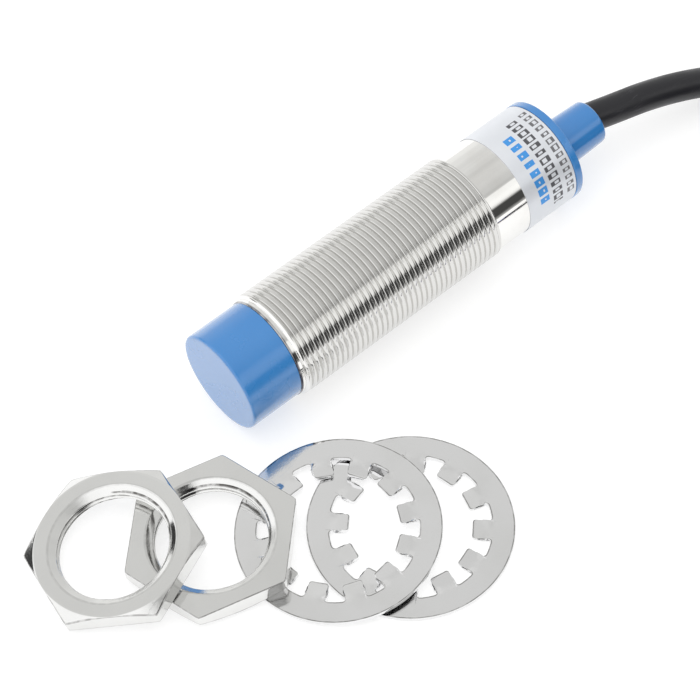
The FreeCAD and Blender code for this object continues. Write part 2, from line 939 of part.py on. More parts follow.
def nut(label, chamfer_side):
    """A flat hexagon nut about its own middle, one face chamfered (+1 upper, -1 lower)."""
    body = doc.addObject("PartDesign::Body", label.title().replace("_", ""))
    sketch = new_sketch(body, label + "_hexagon")
    across = size("nut_flats") / math.sqrt(3)
    corner_lines = []
    for k in range(6):
        share = [f(k * math.pi / 3) / math.sqrt(3) for f in (math.cos, math.sin)]
        corner_lines.append(", ".join(f"nut_flats * {value:.9f}" for value in share))
    outline(sketch, corners_of("\n".join(corner_lines)))
    pad = body.newObject("PartDesign::Pad", label + "_pad")
    pad.Profile = sketch
    pad.Midplane = True
    pad.setExpression("Length", "Sizes.nut_thickness")
    doc.recompute()

    hole = new_sketch(body, label + "_bore")
    half = "nut_thickness / 2 + 0.1"
    outline(
        hole,
        corners_of(
            f"""
            0, - ( {half} )
            nut_minor_radius, - ( {half} )
            nut_minor_radius, {half}
            0, {half}
            """
        ),
    )
    # the bore's outline stands upright, so it is turned about the nut's own axis
    hole.AttachmentSupport = [(plane(body, "XZ_Plane"), "")]
    doc.recompute()
    axis = {"ReferenceAxis": (hole, ["V_Axis"]), "Angle": 360}
    cut(body, "Groove", label + "_bore_cut", hole, **axis)

    mouths = new_sketch(body, label + "_mouths", "XZ_Plane")
    deep = "( nut_mouth_radius - nut_minor_radius ) * chamfer_slope"
    for side in ("", "-"):
        outline(
            mouths,
            corners_of(
                f"""
                nut_minor_radius - 0.2, {side} ( nut_thickness / 2 - {deep} - 0.2 * chamfer_slope )
                nut_mouth_radius + 0.2, {side} ( nut_thickness / 2 + 0.2 * chamfer_slope )
                nut_minor_radius - 0.2, {side} ( nut_thickness / 2 + 0.2 * chamfer_slope )
                """
            ),
        )
    axis = {"ReferenceAxis": (mouths, ["V_Axis"]), "Angle": 360}
    cut(body, "Groove", label + "_mouth_cut", mouths, **axis)

    thread = new_sketch(body, label + "_thread", "XZ_Plane")
    root = "thread_pitch / 8"
    mouth = "( thread_pitch - thread_pitch / 4 ) / 2"
    outline(
        thread,
        corners_of(
            f"""
            nut_minor_radius - 0.05, - thread_pitch - {mouth} - 0.03
            thread_major_radius, - thread_pitch - {root} / 2
            thread_major_radius, - thread_pitch + {root} / 2
            nut_minor_radius - 0.05, - thread_pitch + {mouth} + 0.03
            """
        ),
    )
    axis = {"ReferenceAxis": (thread, ["V_Axis"]), "Angle": 360}
    groove = cut(body, "Groove", label + "_thread_cut", thread, **axis)
    turns = pattern(
        body,
        "LinearPattern",
        label + "_turns",
        groove,
        Direction=(thread, ["V_Axis"]),
        Length=2 * size("thread_pitch"),
        Occurrences=3,
    )
    turns.setExpression("Length", "2 * Sizes.thread_pitch")

    corners = new_sketch(body, label + "_corners", "XZ_Plane")
    sign = "" if chamfer_side > 0 else "-"
    reach = across + 1 - size("nut_chamfer_radius")
    outline(
        corners,
        corners_of(
            f"""
            nut_chamfer_radius, {sign} ( nut_thickness / 2 )
            nut_chamfer_radius + {reach:.4f}, {sign} ( nut_thickness / 2 - {reach:.4f} * chamfer_slope )
            nut_chamfer_radius + {reach:.4f}, {sign} ( nut_thickness / 2 + 0.1 )
            nut_chamfer_radius, {sign} ( nut_thickness / 2 + 0.1 )
            """
        ),
    )
    axis = {"ReferenceAxis": (corners, ["V_Axis"]), "Angle": 360}
    cut(body, "Groove", label + "_corner_cut", corners, **axis)
    keep(body, label, loose_place(label))


def toothed_washer(label):
    """A flat ring with twisted teeth pointing inwards."""
    body = doc.addObject("PartDesign::Body", label.title().replace("_", ""))
    ring = new_sketch(body, label + "_ring")
    circle(ring, "Sizes.washer_radius")
    circle(ring, "Sizes.washer_root_radius")
    pad = body.newObject("PartDesign::Pad", label + "_ring_pad")
    pad.Profile = ring
    pad.Midplane = True
    pad.setExpression("Length", "Sizes.washer_thickness")
    doc.recompute()

    # one tooth's section across its length, turned by the twist, then run outwards
    section = new_sketch(body, label + "_tooth", "YZ_Plane", size("washer_tip_radius") - 0.6)
    lean = math.radians(size("tooth_twist"))
    half_width, half_height = size("tooth_width") / 2, size("washer_thickness") / 2
    lines = []
    for u, v in ((-1, -1), (1, -1), (1, 1), (-1, 1)):
        along, up = u * half_width, v * half_height
        turned_u = along * math.cos(lean) - up * math.sin(lean)
        turned_v = along * math.sin(lean) + up * math.cos(lean)
        lines.append(f"{turned_u:.6f}, {turned_v:.6f}")
    outline(section, corners_of("\n".join(lines)))
    tooth = body.newObject("PartDesign::Pad", label + "_tooth_pad")
    tooth.Profile = section
    tooth.Length = size("washer_root_radius") - size("washer_tip_radius") + 1.4
    doc.recompute()
    pattern(
        body,
        "PolarPattern",
        label + "_teeth",
        tooth,
        Axis=(ring, ["N_Axis"]),
        Angle=360,
        Occurrences=int(size("tooth_count")),
    )
    opening = new_sketch(body, label + "_hole")
    circle(opening, "Sizes.washer_tip_radius")
    cut(body, "Pocket", label + "_hole_cut", opening, Midplane=True, Length=6.0)
    keep(body, label, loose_place(label))


# ---------------------------------------------------------------- the whole object

sensing_cap()
ferrite_core()
coil_bobbin()
coil_winding()
coil_leads()
threaded_barrel()
label_sleeve()
rear_cap()
status_led()
led_leads()
circuit_board()
board_parts()
chip_leg_row = [-1.905, -0.635, 0.635, 1.905]
pins("control_chip_pins", CONTROL_CHIP, {1: chip_leg_row, -1: chip_leg_row}, 1.1, 0.4)
pins("transistor_pins", OUTPUT_TRANSISTOR, {1: [0.0], -1: [-1.5, 0.0, 1.5]}, 1.0, 0.5)
solder_joints()
inner_leads()
potting_resin()
cable_inner_end()
feature("cable", tube("cable", CABLE_ROUTE, size("cable_radius")))
cable_coil()
feature("cable_tail", tube("cable_tail", TAIL_ROUTE, size("cable_radius")))
coil_ties()
lead_tails()
nut("right_nut", -1)
nut("left_nut", 1)
toothed_washer("right_washer")
toothed_washer("left_washer")

doc.recompute()
for item in doc.Objects:
    if "Invalid" in item.State or "Error" in item.State:
        raise RuntimeError(f"{item.Name} failed: {item.State}")
for part in parts:
    if part.Shape.isNull() or not part.Shape.isValid():
        raise RuntimeError(f"{part.Label} has no valid shape")

os.makedirs("parts", exist_ok=True)
for part in parts:
    part.Shape.exportStep(f"parts/{part.Label}.step")
print(f"{len(parts)} parts written")
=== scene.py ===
import math

import bmesh
import bpy
import numpy as np
from mathutils import Matrix, Vector


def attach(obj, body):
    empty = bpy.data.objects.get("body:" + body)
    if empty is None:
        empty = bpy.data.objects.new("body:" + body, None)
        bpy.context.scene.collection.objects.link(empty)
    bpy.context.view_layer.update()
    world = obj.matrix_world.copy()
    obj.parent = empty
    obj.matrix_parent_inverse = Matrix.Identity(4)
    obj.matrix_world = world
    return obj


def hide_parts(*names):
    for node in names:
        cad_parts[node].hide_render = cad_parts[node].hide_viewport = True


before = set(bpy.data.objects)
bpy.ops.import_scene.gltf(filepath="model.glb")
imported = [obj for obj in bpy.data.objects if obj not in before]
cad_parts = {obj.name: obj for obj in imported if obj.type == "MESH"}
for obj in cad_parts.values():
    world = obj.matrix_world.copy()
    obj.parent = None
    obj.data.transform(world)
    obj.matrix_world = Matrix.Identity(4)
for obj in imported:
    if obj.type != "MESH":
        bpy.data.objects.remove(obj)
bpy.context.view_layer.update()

# A threaded-barrel proximity sensor with its cable, two flat nuts and two toothed
# washers, lying on a pale table. The frame is in metres; sizes here are written in
# millimetres and turned into metres by MM. +X runs along the barrel to the cable.

MM = 0.001
FLOOR = -9.0

# ------------------------------------------------------------------ sizes

THREAD = {"major": 9.0, "depth": 0.4, "pitch": 1.0, "start": 10.0, "end": 49.4, "fade": 0.9}
# The cones that cut the thread's first and last turn: how far each stands over the lip or
# the smooth rear where the thread ends, and how steeply it rises.
ENTRY_CONE, EXIT_CONE = {"rise": 0.12, "slope": 1.4}, {"rise": 0.02, "slope": 2.2}
LIP = {"start": 9.2, "radius": 8.5}
SMOOTH = {"radius": 8.7, "end": 65.4}
BORE = 7.65
CAP = {"radius": 8.36, "edge": 0.45, "end": 9.18, "face": 0.9}
SKIRT = {"outer": 7.55, "inner": 6.95, "end": 15.2}
LABEL = {"start": 55.6, "end": 65.3, "radius": 8.79, "inner": 8.72}
FLANGE = {"start": 65.42, "end": 66.8, "radius": 8.84, "edge": 0.28}
PLUG = {"start": 58.0, "radius": 7.55, "hole": 2.5}
NOSE = {"base": 4.1, "tip": 3.75, "end": 76.1, "edge": 0.6, "mouth": 2.7, "mouth_depth": 1.0}
# How far the nose stands off the barrel's axis, sideways and up.
NOSE_SHIFT = (-0.54, -0.27)
CABLE_RADIUS = 2.45
NUT = {"flats": 24.0, "thick": 3.2, "minor": 8.46, "mouth": 9.8, "chamfer": 12.0, "edge": 0.13}
# The slope of a nut's cut corners and countersinks, and how wide a band of each
# countersink belongs to the outside.
CONE, MOUTH_BAND = math.tan(math.radians(30)), 0.45
# How dark the painted shade along each edge of a nut's section is, from the bore's upper
# mouth round the outside to its lower mouth.
NUT_EDGE_SHADE = (0, 0.3, 0, 1, 1, 0, 0.3, 0)
WASHER = {"outer": 15.6, "root": 12.2, "tip": 9.25, "thick": 0.6, "tooth": 3.0, "edge": 0.11}
TOOTH_TWIST = 8.0
WASHER_TEETH = 12
TOOTH_ROOT_ROUND, TOOTH_TIP_ROUND = 0.75, 0.6

# Each loose piece's middle, the slopes of its plane and its own turn, as in the CAD.
LOOSE = {
    "right_washer": (8.57, -34.02, 0.52, 0.0, 0.0, 45.6),
    "left_washer": (-0.27, -27.77, 1.43, 0.0569, -0.0410, 32.4),
    "right_nut": (-15.84, -17.19, 2.37, 0.0509, -0.0339, 163.5),
    "left_nut": (-28.08, -9.60, 4.17, 0.1597, -0.0917, 140.0),
}

# ------------------------------------------------------------------ camera

CAMERA_AT = Vector((-128.26, -189.58, 359.68)) * MM
CAMERA_TURN = (-39.06, 57.04, -1.79)
CAMERA_LENS = 145.3


def make_camera():
    """A long lens looking down on the table, its roll turned about the line of sight."""
    azimuth, elevation, roll = (math.radians(v) for v in CAMERA_TURN)
    back = Vector(
        (
            math.sin(azimuth) * math.cos(elevation),
            -math.cos(azimuth) * math.cos(elevation),
            math.sin(elevation),
        )
    )
    right = Vector((math.cos(azimuth), math.sin(azimuth), 0))
    up = back.cross(right)
    across = right * math.cos(roll) + up * math.sin(roll)
    upward = up * math.cos(roll) - right * math.sin(roll)
    data = bpy.data.cameras.new("camera")
    data.sensor_width = 36.0
    data.lens = CAMERA_LENS
    data.clip_start, data.clip_end = 0.01, 20.0
    camera = bpy.data.objects.new("camera", data)
    bpy.context.scene.collection.objects.link(camera)
    turn = Matrix((across, upward, back)).transposed()
    camera.matrix_world = Matrix.Translation(CAMERA_AT) @ turn.to_4x4()
    bpy.context.scene.camera = camera


make_camera()

# ------------------------------------------------------------------ meshes


def link(name, data):
    """A new object in the scene."""
    thing = bpy.data.objects.new(name, data)
    bpy.context.scene.collection.objects.link(thing)
    return thing


def grid_mesh(name, points, close_rows=False, close_columns=True, uv=None):
    """A surface through a grid of points, in millimetres, shape (rows, columns, 3).

    The last row or column joins the first where it is closed. Points that coincide, as at
    a pole, are merged, and the faces are turned outwards where the surface is closed.
    uv is one (u, v) pair per point; on a closed grid it has to join up where that does.
    """
    rows, columns = points.shape[:2]
    data = bpy.data.meshes.new(name)
    index = np.arange(rows * columns).reshape(rows, columns)
    below, above = index, np.roll(index, -1, 0)
    if not close_rows:
        below, above = below[:-1], above[:-1]
    corners = [below, np.roll(below, -1, 1), np.roll(above, -1, 1), above]
    if not close_columns:
        corners = [c[:, :-1] for c in corners]
    quads = np.stack(corners, -1).reshape(-1, 4)
    data.from_pydata((points.reshape(-1, 3) * MM).tolist(), [], quads.tolist())
    if uv is not None:
        layer = data.uv_layers.new(name="UVMap")
        layer.data.foreach_set("uv", uv.reshape(-1, 2)[quads.ravel()].astype(np.float32).ravel())
    mended = bmesh.new()
    mended.from_mesh(data)
    bmesh.ops.remove_doubles(mended, verts=mended.verts, dist=1e-7)
    bmesh.ops.recalc_face_normals(mended, faces=mended.faces)
    mended.to_mesh(data)
    mended.free()
    data.polygons.foreach_set("use_smooth", np.ones(len(data.polygons), bool))
    data.update()
    return link(name, data)


def rounded_outline(corners, radii, steps=5, support=2.0):
    """An outline with each corner rounded, as an array of (x, radius) points.

    A corner becomes a quadratic curve from a point rounding-radius back to a point
    rounding-radius ahead, with the corner as its control, and a support point each side.
    """
    points = np.asarray(corners, float)
    found = []
    for i, (point, radius) in enumerate(zip(points, radii)):
        if radius <= 0 or i in (0, len(points) - 1):
            found.append(point[None])
            continue
        back, ahead = points[i - 1] - point, points[i + 1] - point
        back_length, ahead_length = np.linalg.norm(back), np.linalg.norm(ahead)
        reach = min(radius, 0.45 * back_length, 0.45 * ahead_length)
        start, end = point + back / back_length * reach, point + ahead / ahead_length * reach
        t = np.linspace(0, 1, steps)[:, None]
        curve = (1 - t) ** 2 * start + 2 * t * (1 - t) * point + t**2 * end
        extra = min(support * reach, 0.47 * back_length), min(support * reach, 0.47 * ahead_length)
        lead_in = point + back / back_length * extra[0]
        lead_out = point + ahead / ahead_length * extra[1]
        found.append(np.vstack([lead_in[None], curve, lead_out[None]]))
    return np.vstack(found)


def round_the_axis(outline, columns):
    """A grid of points: an outline of (x, radius) points carried round the X axis."""
    angle = np.arange(columns) * 2 * np.pi / columns
    x = np.repeat(outline[:, :1], columns, 1)
    return np.stack([x, outline[:, 1:] * np.cos(angle), outline[:, 1:] * np.sin(angle)], -1)


def turned_surface(name, corners, radii, columns=192):
    """A closed outline of (x, radius) corners, rounded and carried round the X axis."""
    outline = rounded_outline(corners, radii)
    return grid_mesh(name, round_the_axis(outline, columns), close_rows=True)


def loose_matrix(label):
    """A loose piece's place: its plane tilted to its slopes, after its own turn."""
    x, y, height, slope_x, slope_y, turn = LOOSE[label]
    normal = Vector((-slope_x, -slope_y, 1)).normalized()
    tilt = Vector((0, 0, 1)).rotation_difference(normal).to_matrix().to_4x4()
    spin = Matrix.Rotation(math.radians(turn), 4, "Z")
    return Matrix.Translation(Vector((x, y, FLOOR + height)) * MM) @ tilt @ spin


# ------------------------------------------------------------------ cable

CABLE_ROUTE = [
    (76.1, 0.0, 0.0),
    (80.6, -1.15, -0.25),
    (86.6, -2.3, -0.9),
    (93.6, -3.9, -2.5),
    (101.2, -6.0, -5.2),
    (109.4, -8.2, -6.45),
    (118.2, -10.3, -6.4),
    (126.7, -12.2, -5.95),
]
TAIL_ROUTE = [
    (120.3, -78.4, -1.05),
    (112.6, -78.3, -1.3),
    (104.6, -77.4, -3.3),
    (96.6, -75.9, -5.6),
    (88.4, -74.1, -6.5),
    (80.4, -71.6, -6.5),
]
COIL_MIDDLE = (120.3, -45.0)
COIL_RADII = (33.4, 28.5, 23.6)
COIL_HEIGHTS = (-5.95, -1.05)
COIL_ENTRY = 79.0
COIL_EXIT = 270.0
COIL_STEPS = 16
# Where each turn shifts by one cable, in degrees travelled past the entry: the upper
# layer outwards, then the climb from the lower layer, then the lower layer inwards.
SHIFT_OUT, CLIMB, SHIFT_IN = (169.5, 235.5), (235.5, 293.5), (293.5, 359.5)


def eased(value, span):
    """From 0 to 1 over a span along a cosine, level at both ends."""
    share = np.clip((value - span[0]) / (span[1] - span[0]), 0, 1)
    return (1 - np.cos(np.pi * share)) / 2


def coil_points():
    """The coil's turns, clockwise from above: three side by side, then three on them.

    The radius falls by one cable in each of the first two turns' inward shift, the
    height rises by one cable in the third turn's climb, and the radius grows again in
    the outward shifts. Control points stand out by 2 / (1 + cos of half a step), because
    the smooth line cuts inside them.
    """
    total = COIL_ENTRY - COIL_EXIT + 6 * 360
    travelled = np.linspace(0, total, int(round(total / 360 * COIL_STEPS)) + 1)[1:-1]
    step = COIL_RADII[0] - COIL_RADII[1]
    inward = sum(eased(travelled - turn * 360, SHIFT_IN) for turn in (0, 1))
    climbed = eased(travelled - 2 * 360, CLIMB)
    outward = sum(eased(travelled - turn * 360, SHIFT_OUT) for turn in (3, 4))
    radius = COIL_RADII[0] - step * (inward - outward)
    height = COIL_HEIGHTS[0] + (COIL_HEIGHTS[1] - COIL_HEIGHTS[0]) * climbed
    angle = np.radians(COIL_ENTRY - travelled)
    radius = radius * 2 / (1 + math.cos(math.radians(360 / COIL_STEPS) / 2))
    x = COIL_MIDDLE[0] + radius * np.cos(angle)
    y = COIL_MIDDLE[1] + radius * np.sin(angle)
    return np.stack([x, y, height], -1)


def smooth_line(name, points, radius, sides=8, fineness=10):
    """A round cord on a quadratic NURBS line whose control points are the route's own."""
    data = bpy.data.curves.new(name, "CURVE")
    data.dimensions = "3D"
    data.bevel_depth = radius * MM
    data.bevel_resolution = sides
    data.resolution_u = data.render_resolution_u = fineness
    data.use_fill_caps = True
    spline = data.splines.new("NURBS")
    spline.points.add(len(points) - 1)
    for spot, point in zip(spline.points, np.asarray(points) * MM):
        spot.co = (*point, 1)
    spline.order_u = 3
    spline.use_endpoint_u = True
    return link(name, data)


cable = smooth_line(
    "cable_jacket",
    np.vstack([CABLE_ROUTE, coil_points(), TAIL_ROUTE]),
    CABLE_RADIUS,
)


# The three stripped leads, from their seats in the jacket's end.
LEAD_RADIUS = 0.65
LEAD_SEAT = 1.0
LEAD_START = 5.6
LEAD_TAILS = {
    "brown_lead_tail": (
        210,
        [(68.4, -66.4, -7.9), (61.5, -64.4, -8.3), (54.6, -64.6, -8.3), (48.4, -66.4, -8.3)],
    ),
    "blue_lead_tail": (
        90,
        [(68.0, -69.2, -7.6), (61.0, -69.8, -8.3), (54.4, -70.8, -8.3), (47.6, -70.4, -8.3)],
    ),
    "black_lead_tail": (
        330,
        [(68.6, -72.2, -7.9), (61.8, -74.6, -8.3), (55.0, -76.0, -8.3), (48.6, -75.2, -8.3)],
    ),
}
TIP = {"radius": 0.38, "length": 6.0, "strands": 7, "twist": 1.6}


def lead_route(angle, rest):
    """A lead's control points: its seat in the jacket's end, straight out, then along."""
    end, before = (np.array(TAIL_ROUTE[k]) for k in (-1, -2))
    along = (end - before) / np.linalg.norm(end - before)
    across = np.cross((0, 0, 1), along)
    turn = math.radians(angle)
    seat = end + LEAD_SEAT * (across * math.cos(turn) + np.array((0, 0, math.sin(turn))))
    return [tuple(seat), tuple(seat + along * LEAD_START), *rest]


leads = {}
for lead_name, (seat_angle, rest_of_route) in LEAD_TAILS.items():
    route = lead_route(seat_angle, rest_of_route)
    leads[lead_name] = (route, smooth_line(lead_name + "_wire", route, LEAD_RADIUS, 5, 8))


def tinned_tip(name, last, before):
    """A twisted bundle of tinned strands: a round section with seven lobes, turned along
    its length, its end drawn in to a blunt point."""
    start, ahead = np.array(last), np.array(last) - np.array(before)
    ahead = ahead / np.linalg.norm(ahead)
    side = np.cross((0, 0, 1), ahead)
    lift = np.cross(ahead, side)
    length = TIP["length"]
    ends = length - np.array((0.15, 0.05, 0.01, 0.0))
    along = np.concatenate([np.linspace(-0.3, length - 0.3, 40), ends])
    angle = np.linspace(0, 2 * np.pi, 42, endpoint=False)
    s, a = np.meshgrid(along, angle, indexing="ij")
    lobes = 0.9 + 0.1 * np.abs(np.cos((a * TIP["strands"] + s * TIP["twist"] * 2) / 2))
    radius = TIP["radius"] * lobes
    taper = np.ones_like(along)
    taper[-4:] = (0.93, 0.8, 0.55, 0)
    radius = radius * taper[:, None]
    radius[0] = 0
    spots = (
        start
        + s[..., None] * ahead
        + (radius * np.cos(a))[..., None] * side
        + (radius * np.sin(a))[..., None] * lift
    )
    return grid_mesh(name, spots)


tips = [
    tinned_tip(name.replace("tail", "tip"), route[-1], route[-2])
    for name, (route, _) in leads.items()
]

# ------------------------------------------------------------------ coil's ties

# A tie's strap, and the loop that its middle makes round the coil, up from the table.
TIE = {"thick": 0.5, "wide": 5.0, "edge": 0.12}
TIE |= {"half_across": 7.75, "low": 0.25, "high": 10.55, "corner": 1.5}


def tie_band(name, angle):
    """A flat strap round the coil's section: a rounded rectangle of the coil's width and
    height, carried across the strap's own width, with its edges drawn in."""
    corner = TIE["corner"]
    side, top, bottom = TIE["half_across"] - corner, TIE["high"] - corner, TIE["low"] + corner
    loop = []
    quarters = (side, top, 0), (-side, top, 90), (-side, bottom, 180), (side, bottom, 270)
    for x, z, start in quarters:
        turn = np.radians(np.linspace(start, start + 90, 9))
        loop.append(np.stack([x + corner * np.cos(turn), z + corner * np.sin(turn)], -1))
    middle = np.vstack(loop)
    ahead = np.roll(middle, -1, 0) - np.roll(middle, 1, 0)
    outward = np.stack([ahead[:, 1], -ahead[:, 0]], -1)
    outward /= np.linalg.norm(outward, axis=1)[:, None]
    half_wide, half_thick = TIE["wide"] / 2, TIE["thick"] / 2
    section = rounded_outline(
        [
            (0, -half_thick),
            (half_wide, -half_thick),
            (half_wide, half_thick),
            (-half_wide, half_thick),
            (-half_wide, -half_thick),
            (-0.01, -half_thick),
        ],
        (0, *[TIE["edge"]] * 4, 0),
        steps=3,
    )
    inset = middle[None] + section[:, 1][:, None, None] * outward[None]
    y = np.broadcast_to(section[:, 0][:, None], inset.shape[:2])
    spots = np.stack([COIL_RADII[1] + inset[..., 0], y, inset[..., 1]], -1)
    turn = math.radians(angle)
    x = COIL_MIDDLE[0] + spots[..., 0] * math.cos(turn) - spots[..., 1] * math.sin(turn)
    y = COIL_MIDDLE[1] + spots[..., 0] * math.sin(turn) + spots[..., 1] * math.cos(turn)
    return grid_mesh(name, np.stack([x, y, spots[..., 2] + FLOOR], -1), close_rows=True)


ties = [tie_band("coil_tie_near", 25), tie_band("coil_tie_far", 205)]

# ------------------------------------------------------------------ barrel, caps and label

# One turn of thread, as shares of the pitch from a crest's middle, and how far down its
# groove the surface is there: a wide crest a little crowned, then a narrow round groove.
HALF_TURN = np.array(
    [(0, 0), (0.15, 0.02), (0.25, 0.07), (0.31, 0.2), (0.36, 0.47), (0.42, 0.82), (0.46, 0.96)]
)
THREAD_SHARES = np.concatenate([HALF_TURN[:, 0], [0.5], 1 - HALF_TURN[:0:-1, 0]])
THREAD_DEPTHS = np.concatenate([HALF_TURN[:, 1], [1.0], HALF_TURN[:0:-1, 1]])
THREAD_COLUMNS = 136


def barrel_surface():
    """The barrel's tube: a helical thread between a narrow lip and a smooth rear.

    Over the thread, radius = major - depth times the groove's share of its depth at
    (x - angle / 360 x pitch), and the grid's rows follow the helix, so that crests stay
    crisp. The groove fades in and out at the ends, where a cone also cuts the crests.
    """
    columns = THREAD_COLUMNS
    turns = np.arange(-1, int(THREAD["end"] - THREAD["start"]) + 2)
    helix = (turns[:, None] + THREAD_SHARES).ravel()
    depths = np.tile(THREAD_DEPTHS, len(turns))
    angle = np.arange(columns) * 2 * np.pi / columns
    x = THREAD["start"] + helix[:, None] * THREAD["pitch"] + angle / (2 * np.pi) * THREAD["pitch"]
    x = np.clip(x, THREAD["start"], THREAD["end"])
    fade_in = np.clip((x - THREAD["start"]) / THREAD["fade"], 0, 1)
    fade_out = np.clip((THREAD["end"] - x) / THREAD["fade"], 0, 1)
    fade = np.minimum(0.35 + 0.65 * fade_in, fade_out)
    radius = THREAD["major"] - THREAD["depth"] * depths[:, None] * fade
    entry = LIP["radius"] + ENTRY_CONE["rise"] + (x - THREAD["start"]) * ENTRY_CONE["slope"]
    leaving = SMOOTH["radius"] + EXIT_CONE["rise"] + (THREAD["end"] - x) * EXIT_CONE["slope"]
    radius = np.minimum(radius, np.minimum(entry, leaving))
    rows = len(helix)
    per_turn = len(THREAD_SHARES)
    index = np.arange(rows * columns).reshape(rows, columns)
    points = np.stack([x, radius * np.cos(angle), radius * np.sin(angle)], -1).reshape(-1, 3)
    quads = np.stack(
        [index[:-1, :-1], index[:-1, 1:], index[1:, 1:], index[1:, :-1]], -1
    ).reshape(-1, 4)
    last, first = index[:, -1], index[:, 0]
    seam = np.stack(
        [last[: -per_turn - 1], first[per_turn:-1], first[per_turn + 1 :], last[1:-per_turn]], -1
    )
    return points, np.vstack([quads, seam])


def barrel():
    """The threaded tube, its lip and smooth rear, and its bore, welded into one skin."""
    points, quads = barrel_surface()
    data = bpy.data.meshes.new("barrel_tube")
    data.from_pydata((points * MM).tolist(), [], quads.tolist())
    skin = bmesh.new()
    skin.from_mesh(data)
    bmesh.ops.remove_doubles(skin, verts=skin.verts, dist=1e-8)
    bmesh.ops.dissolve_degenerate(skin, dist=1e-8, edges=skin.edges)
    skin.to_mesh(data)
    skin.free()
    rest_outline = rounded_outline(
        [
            (THREAD["start"], LIP["radius"] + ENTRY_CONE["rise"]),
            (THREAD["start"], LIP["radius"]),
            (LIP["start"], LIP["radius"]),
            (LIP["start"], BORE),
            (SMOOTH["end"], BORE),
            (SMOOTH["end"], SMOOTH["radius"]),
            (THREAD["end"], SMOOTH["radius"]),
            (THREAD["end"], SMOOTH["radius"] + EXIT_CONE["rise"]),
        ],
        (0, 0.03, 0.28, 0.1, 0.1, 0.1, 0.01, 0),
        steps=5,
    )
    rest = grid_mesh("barrel_rest", round_the_axis(rest_outline, THREAD_COLUMNS))
    skin = bmesh.new()
    skin.from_mesh(data)
    skin.from_mesh(rest.data)
    bmesh.ops.remove_doubles(skin, verts=skin.verts, dist=2e-7)
    bmesh.ops.recalc_face_normals(skin, faces=skin.faces)
    skin.to_mesh(data)
    skin.free()
    bpy.data.objects.remove(rest)
    data.polygons.foreach_set("use_smooth", np.ones(len(data.polygons), bool))
    data.update()
    return link("barrel_tube", data)


tube = barrel()

front_cap = turned_surface(
    "front_cap",
    [
        (0, 0),
        (0, CAP["radius"]),
        (CAP["end"], CAP["radius"]),
        (CAP["end"], SKIRT["outer"]),
        (SKIRT["end"], SKIRT["outer"]),
        (SKIRT["end"], SKIRT["inner"]),
        (CAP["face"], SKIRT["inner"]),
        (CAP["face"], 0),
    ],
    (0, CAP["edge"], 0.05, 0.05, 0.05, 0.05, 0.05, 0),
)

end_cap = turned_surface(
    "end_cap",
    [
        (PLUG["start"], PLUG["hole"]),
        (PLUG["start"], PLUG["radius"]),
        (FLANGE["start"], PLUG["radius"]),
        (FLANGE["start"], FLANGE["radius"]),
        (FLANGE["end"], FLANGE["radius"]),
        (FLANGE["end"], NOSE["base"]),
        (NOSE["end"], NOSE["tip"]),
        (NOSE["end"], NOSE["mouth"]),
        (NOSE["end"] - NOSE["mouth_depth"], PLUG["hole"]),
    ],
    (0, 0.05, 0.05, 0.15, FLANGE["edge"], 0.25, NOSE["edge"], 0.12, 0),
)


def shift_nose(cap):
    """Set the nose off the axis: every point of its outside, from its root to its tip,
    moves by the same small step. The mouth round the cable stays on the axis."""
    points = np.empty(3 * len(cap.data.vertices), np.float32)
    cap.data.vertices.foreach_get("co", points)
    points = points.reshape(-1, 3)
    reach = np.hypot(points[:, 1], points[:, 2]) / MM
    outside = (reach > NOSE["mouth"] + 0.2) & (reach < NOSE["base"] + 0.9)
    outside &= points[:, 0] / MM > FLANGE["end"] - 0.1
    points[outside, 1:] += np.array(NOSE_SHIFT) * MM
    cap.data.vertices.foreach_set("co", points.ravel())
    cap.data.update()


shift_nose(end_cap)


def label_film():
    """The film label: a thin sleeve with its own map, u in millimetres round the barrel
    from its top and v in millimetres along it."""
    columns = 193
    outline = rounded_outline(
        [
            (LABEL["start"], LABEL["inner"]),
            (LABEL["start"], LABEL["radius"]),
            (LABEL["end"], LABEL["radius"]),
            (LABEL["end"], LABEL["inner"]),
        ],
        (0, 0.03, 0.03, 0),
        steps=3,
    )
    outline = np.vstack([outline, outline[:1]])
    angle = np.linspace(-np.pi, np.pi, columns)
    x = np.repeat(outline[:, :1], columns, 1)
    radius = outline[:, 1:]
    points = np.stack([x, -radius * np.sin(angle), radius * np.cos(angle)], -1)
    around = np.broadcast_to(angle * LABEL["radius"], x.shape)
    uv = np.stack([around, x - LABEL["start"]], -1)
    return grid_mesh("label_film", points, close_columns=False, uv=uv)


label = label_film()

# ------------------------------------------------------------------ nuts and washers


def eased_corners(corners, reach, steps=4, support=2.2):
    """Rows of a closed outline of corners that vary round a piece, each corner eased.

    corners has shape (corners, columns, 2). A corner becomes the quadratic curve between
    points one reach back and one reach ahead, with a support row each side.
    """
    back = np.roll(corners, 1, 0) - corners
    ahead = np.roll(corners, -1, 0) - corners
    lengths = [np.maximum(np.linalg.norm(d, axis=-1, keepdims=True), 1e-9) for d in (back, ahead)]
    reach = np.asarray(reach, float)[:, None, None]
    cut = [np.minimum(reach, 0.4 * length) for length in lengths]
    start, end = (
        corners + d / length * c for d, length, c in zip((back, ahead), lengths, cut)
    )
    held = [np.minimum(support * reach, 0.46 * length) for length in lengths]
    lead_in, lead_out = (
        corners + d / length * h for d, length, h in zip((back, ahead), lengths, held)
    )
    t = np.linspace(0, 1, steps)[:, None, None, None]
    curve = (1 - t) ** 2 * start + 2 * t * (1 - t) * corners + t**2 * end
    stacked = np.concatenate([lead_in[None], curve, lead_out[None]])
    return stacked.transpose(1, 0, 2, 3).reshape(-1, corners.shape[1], 2)


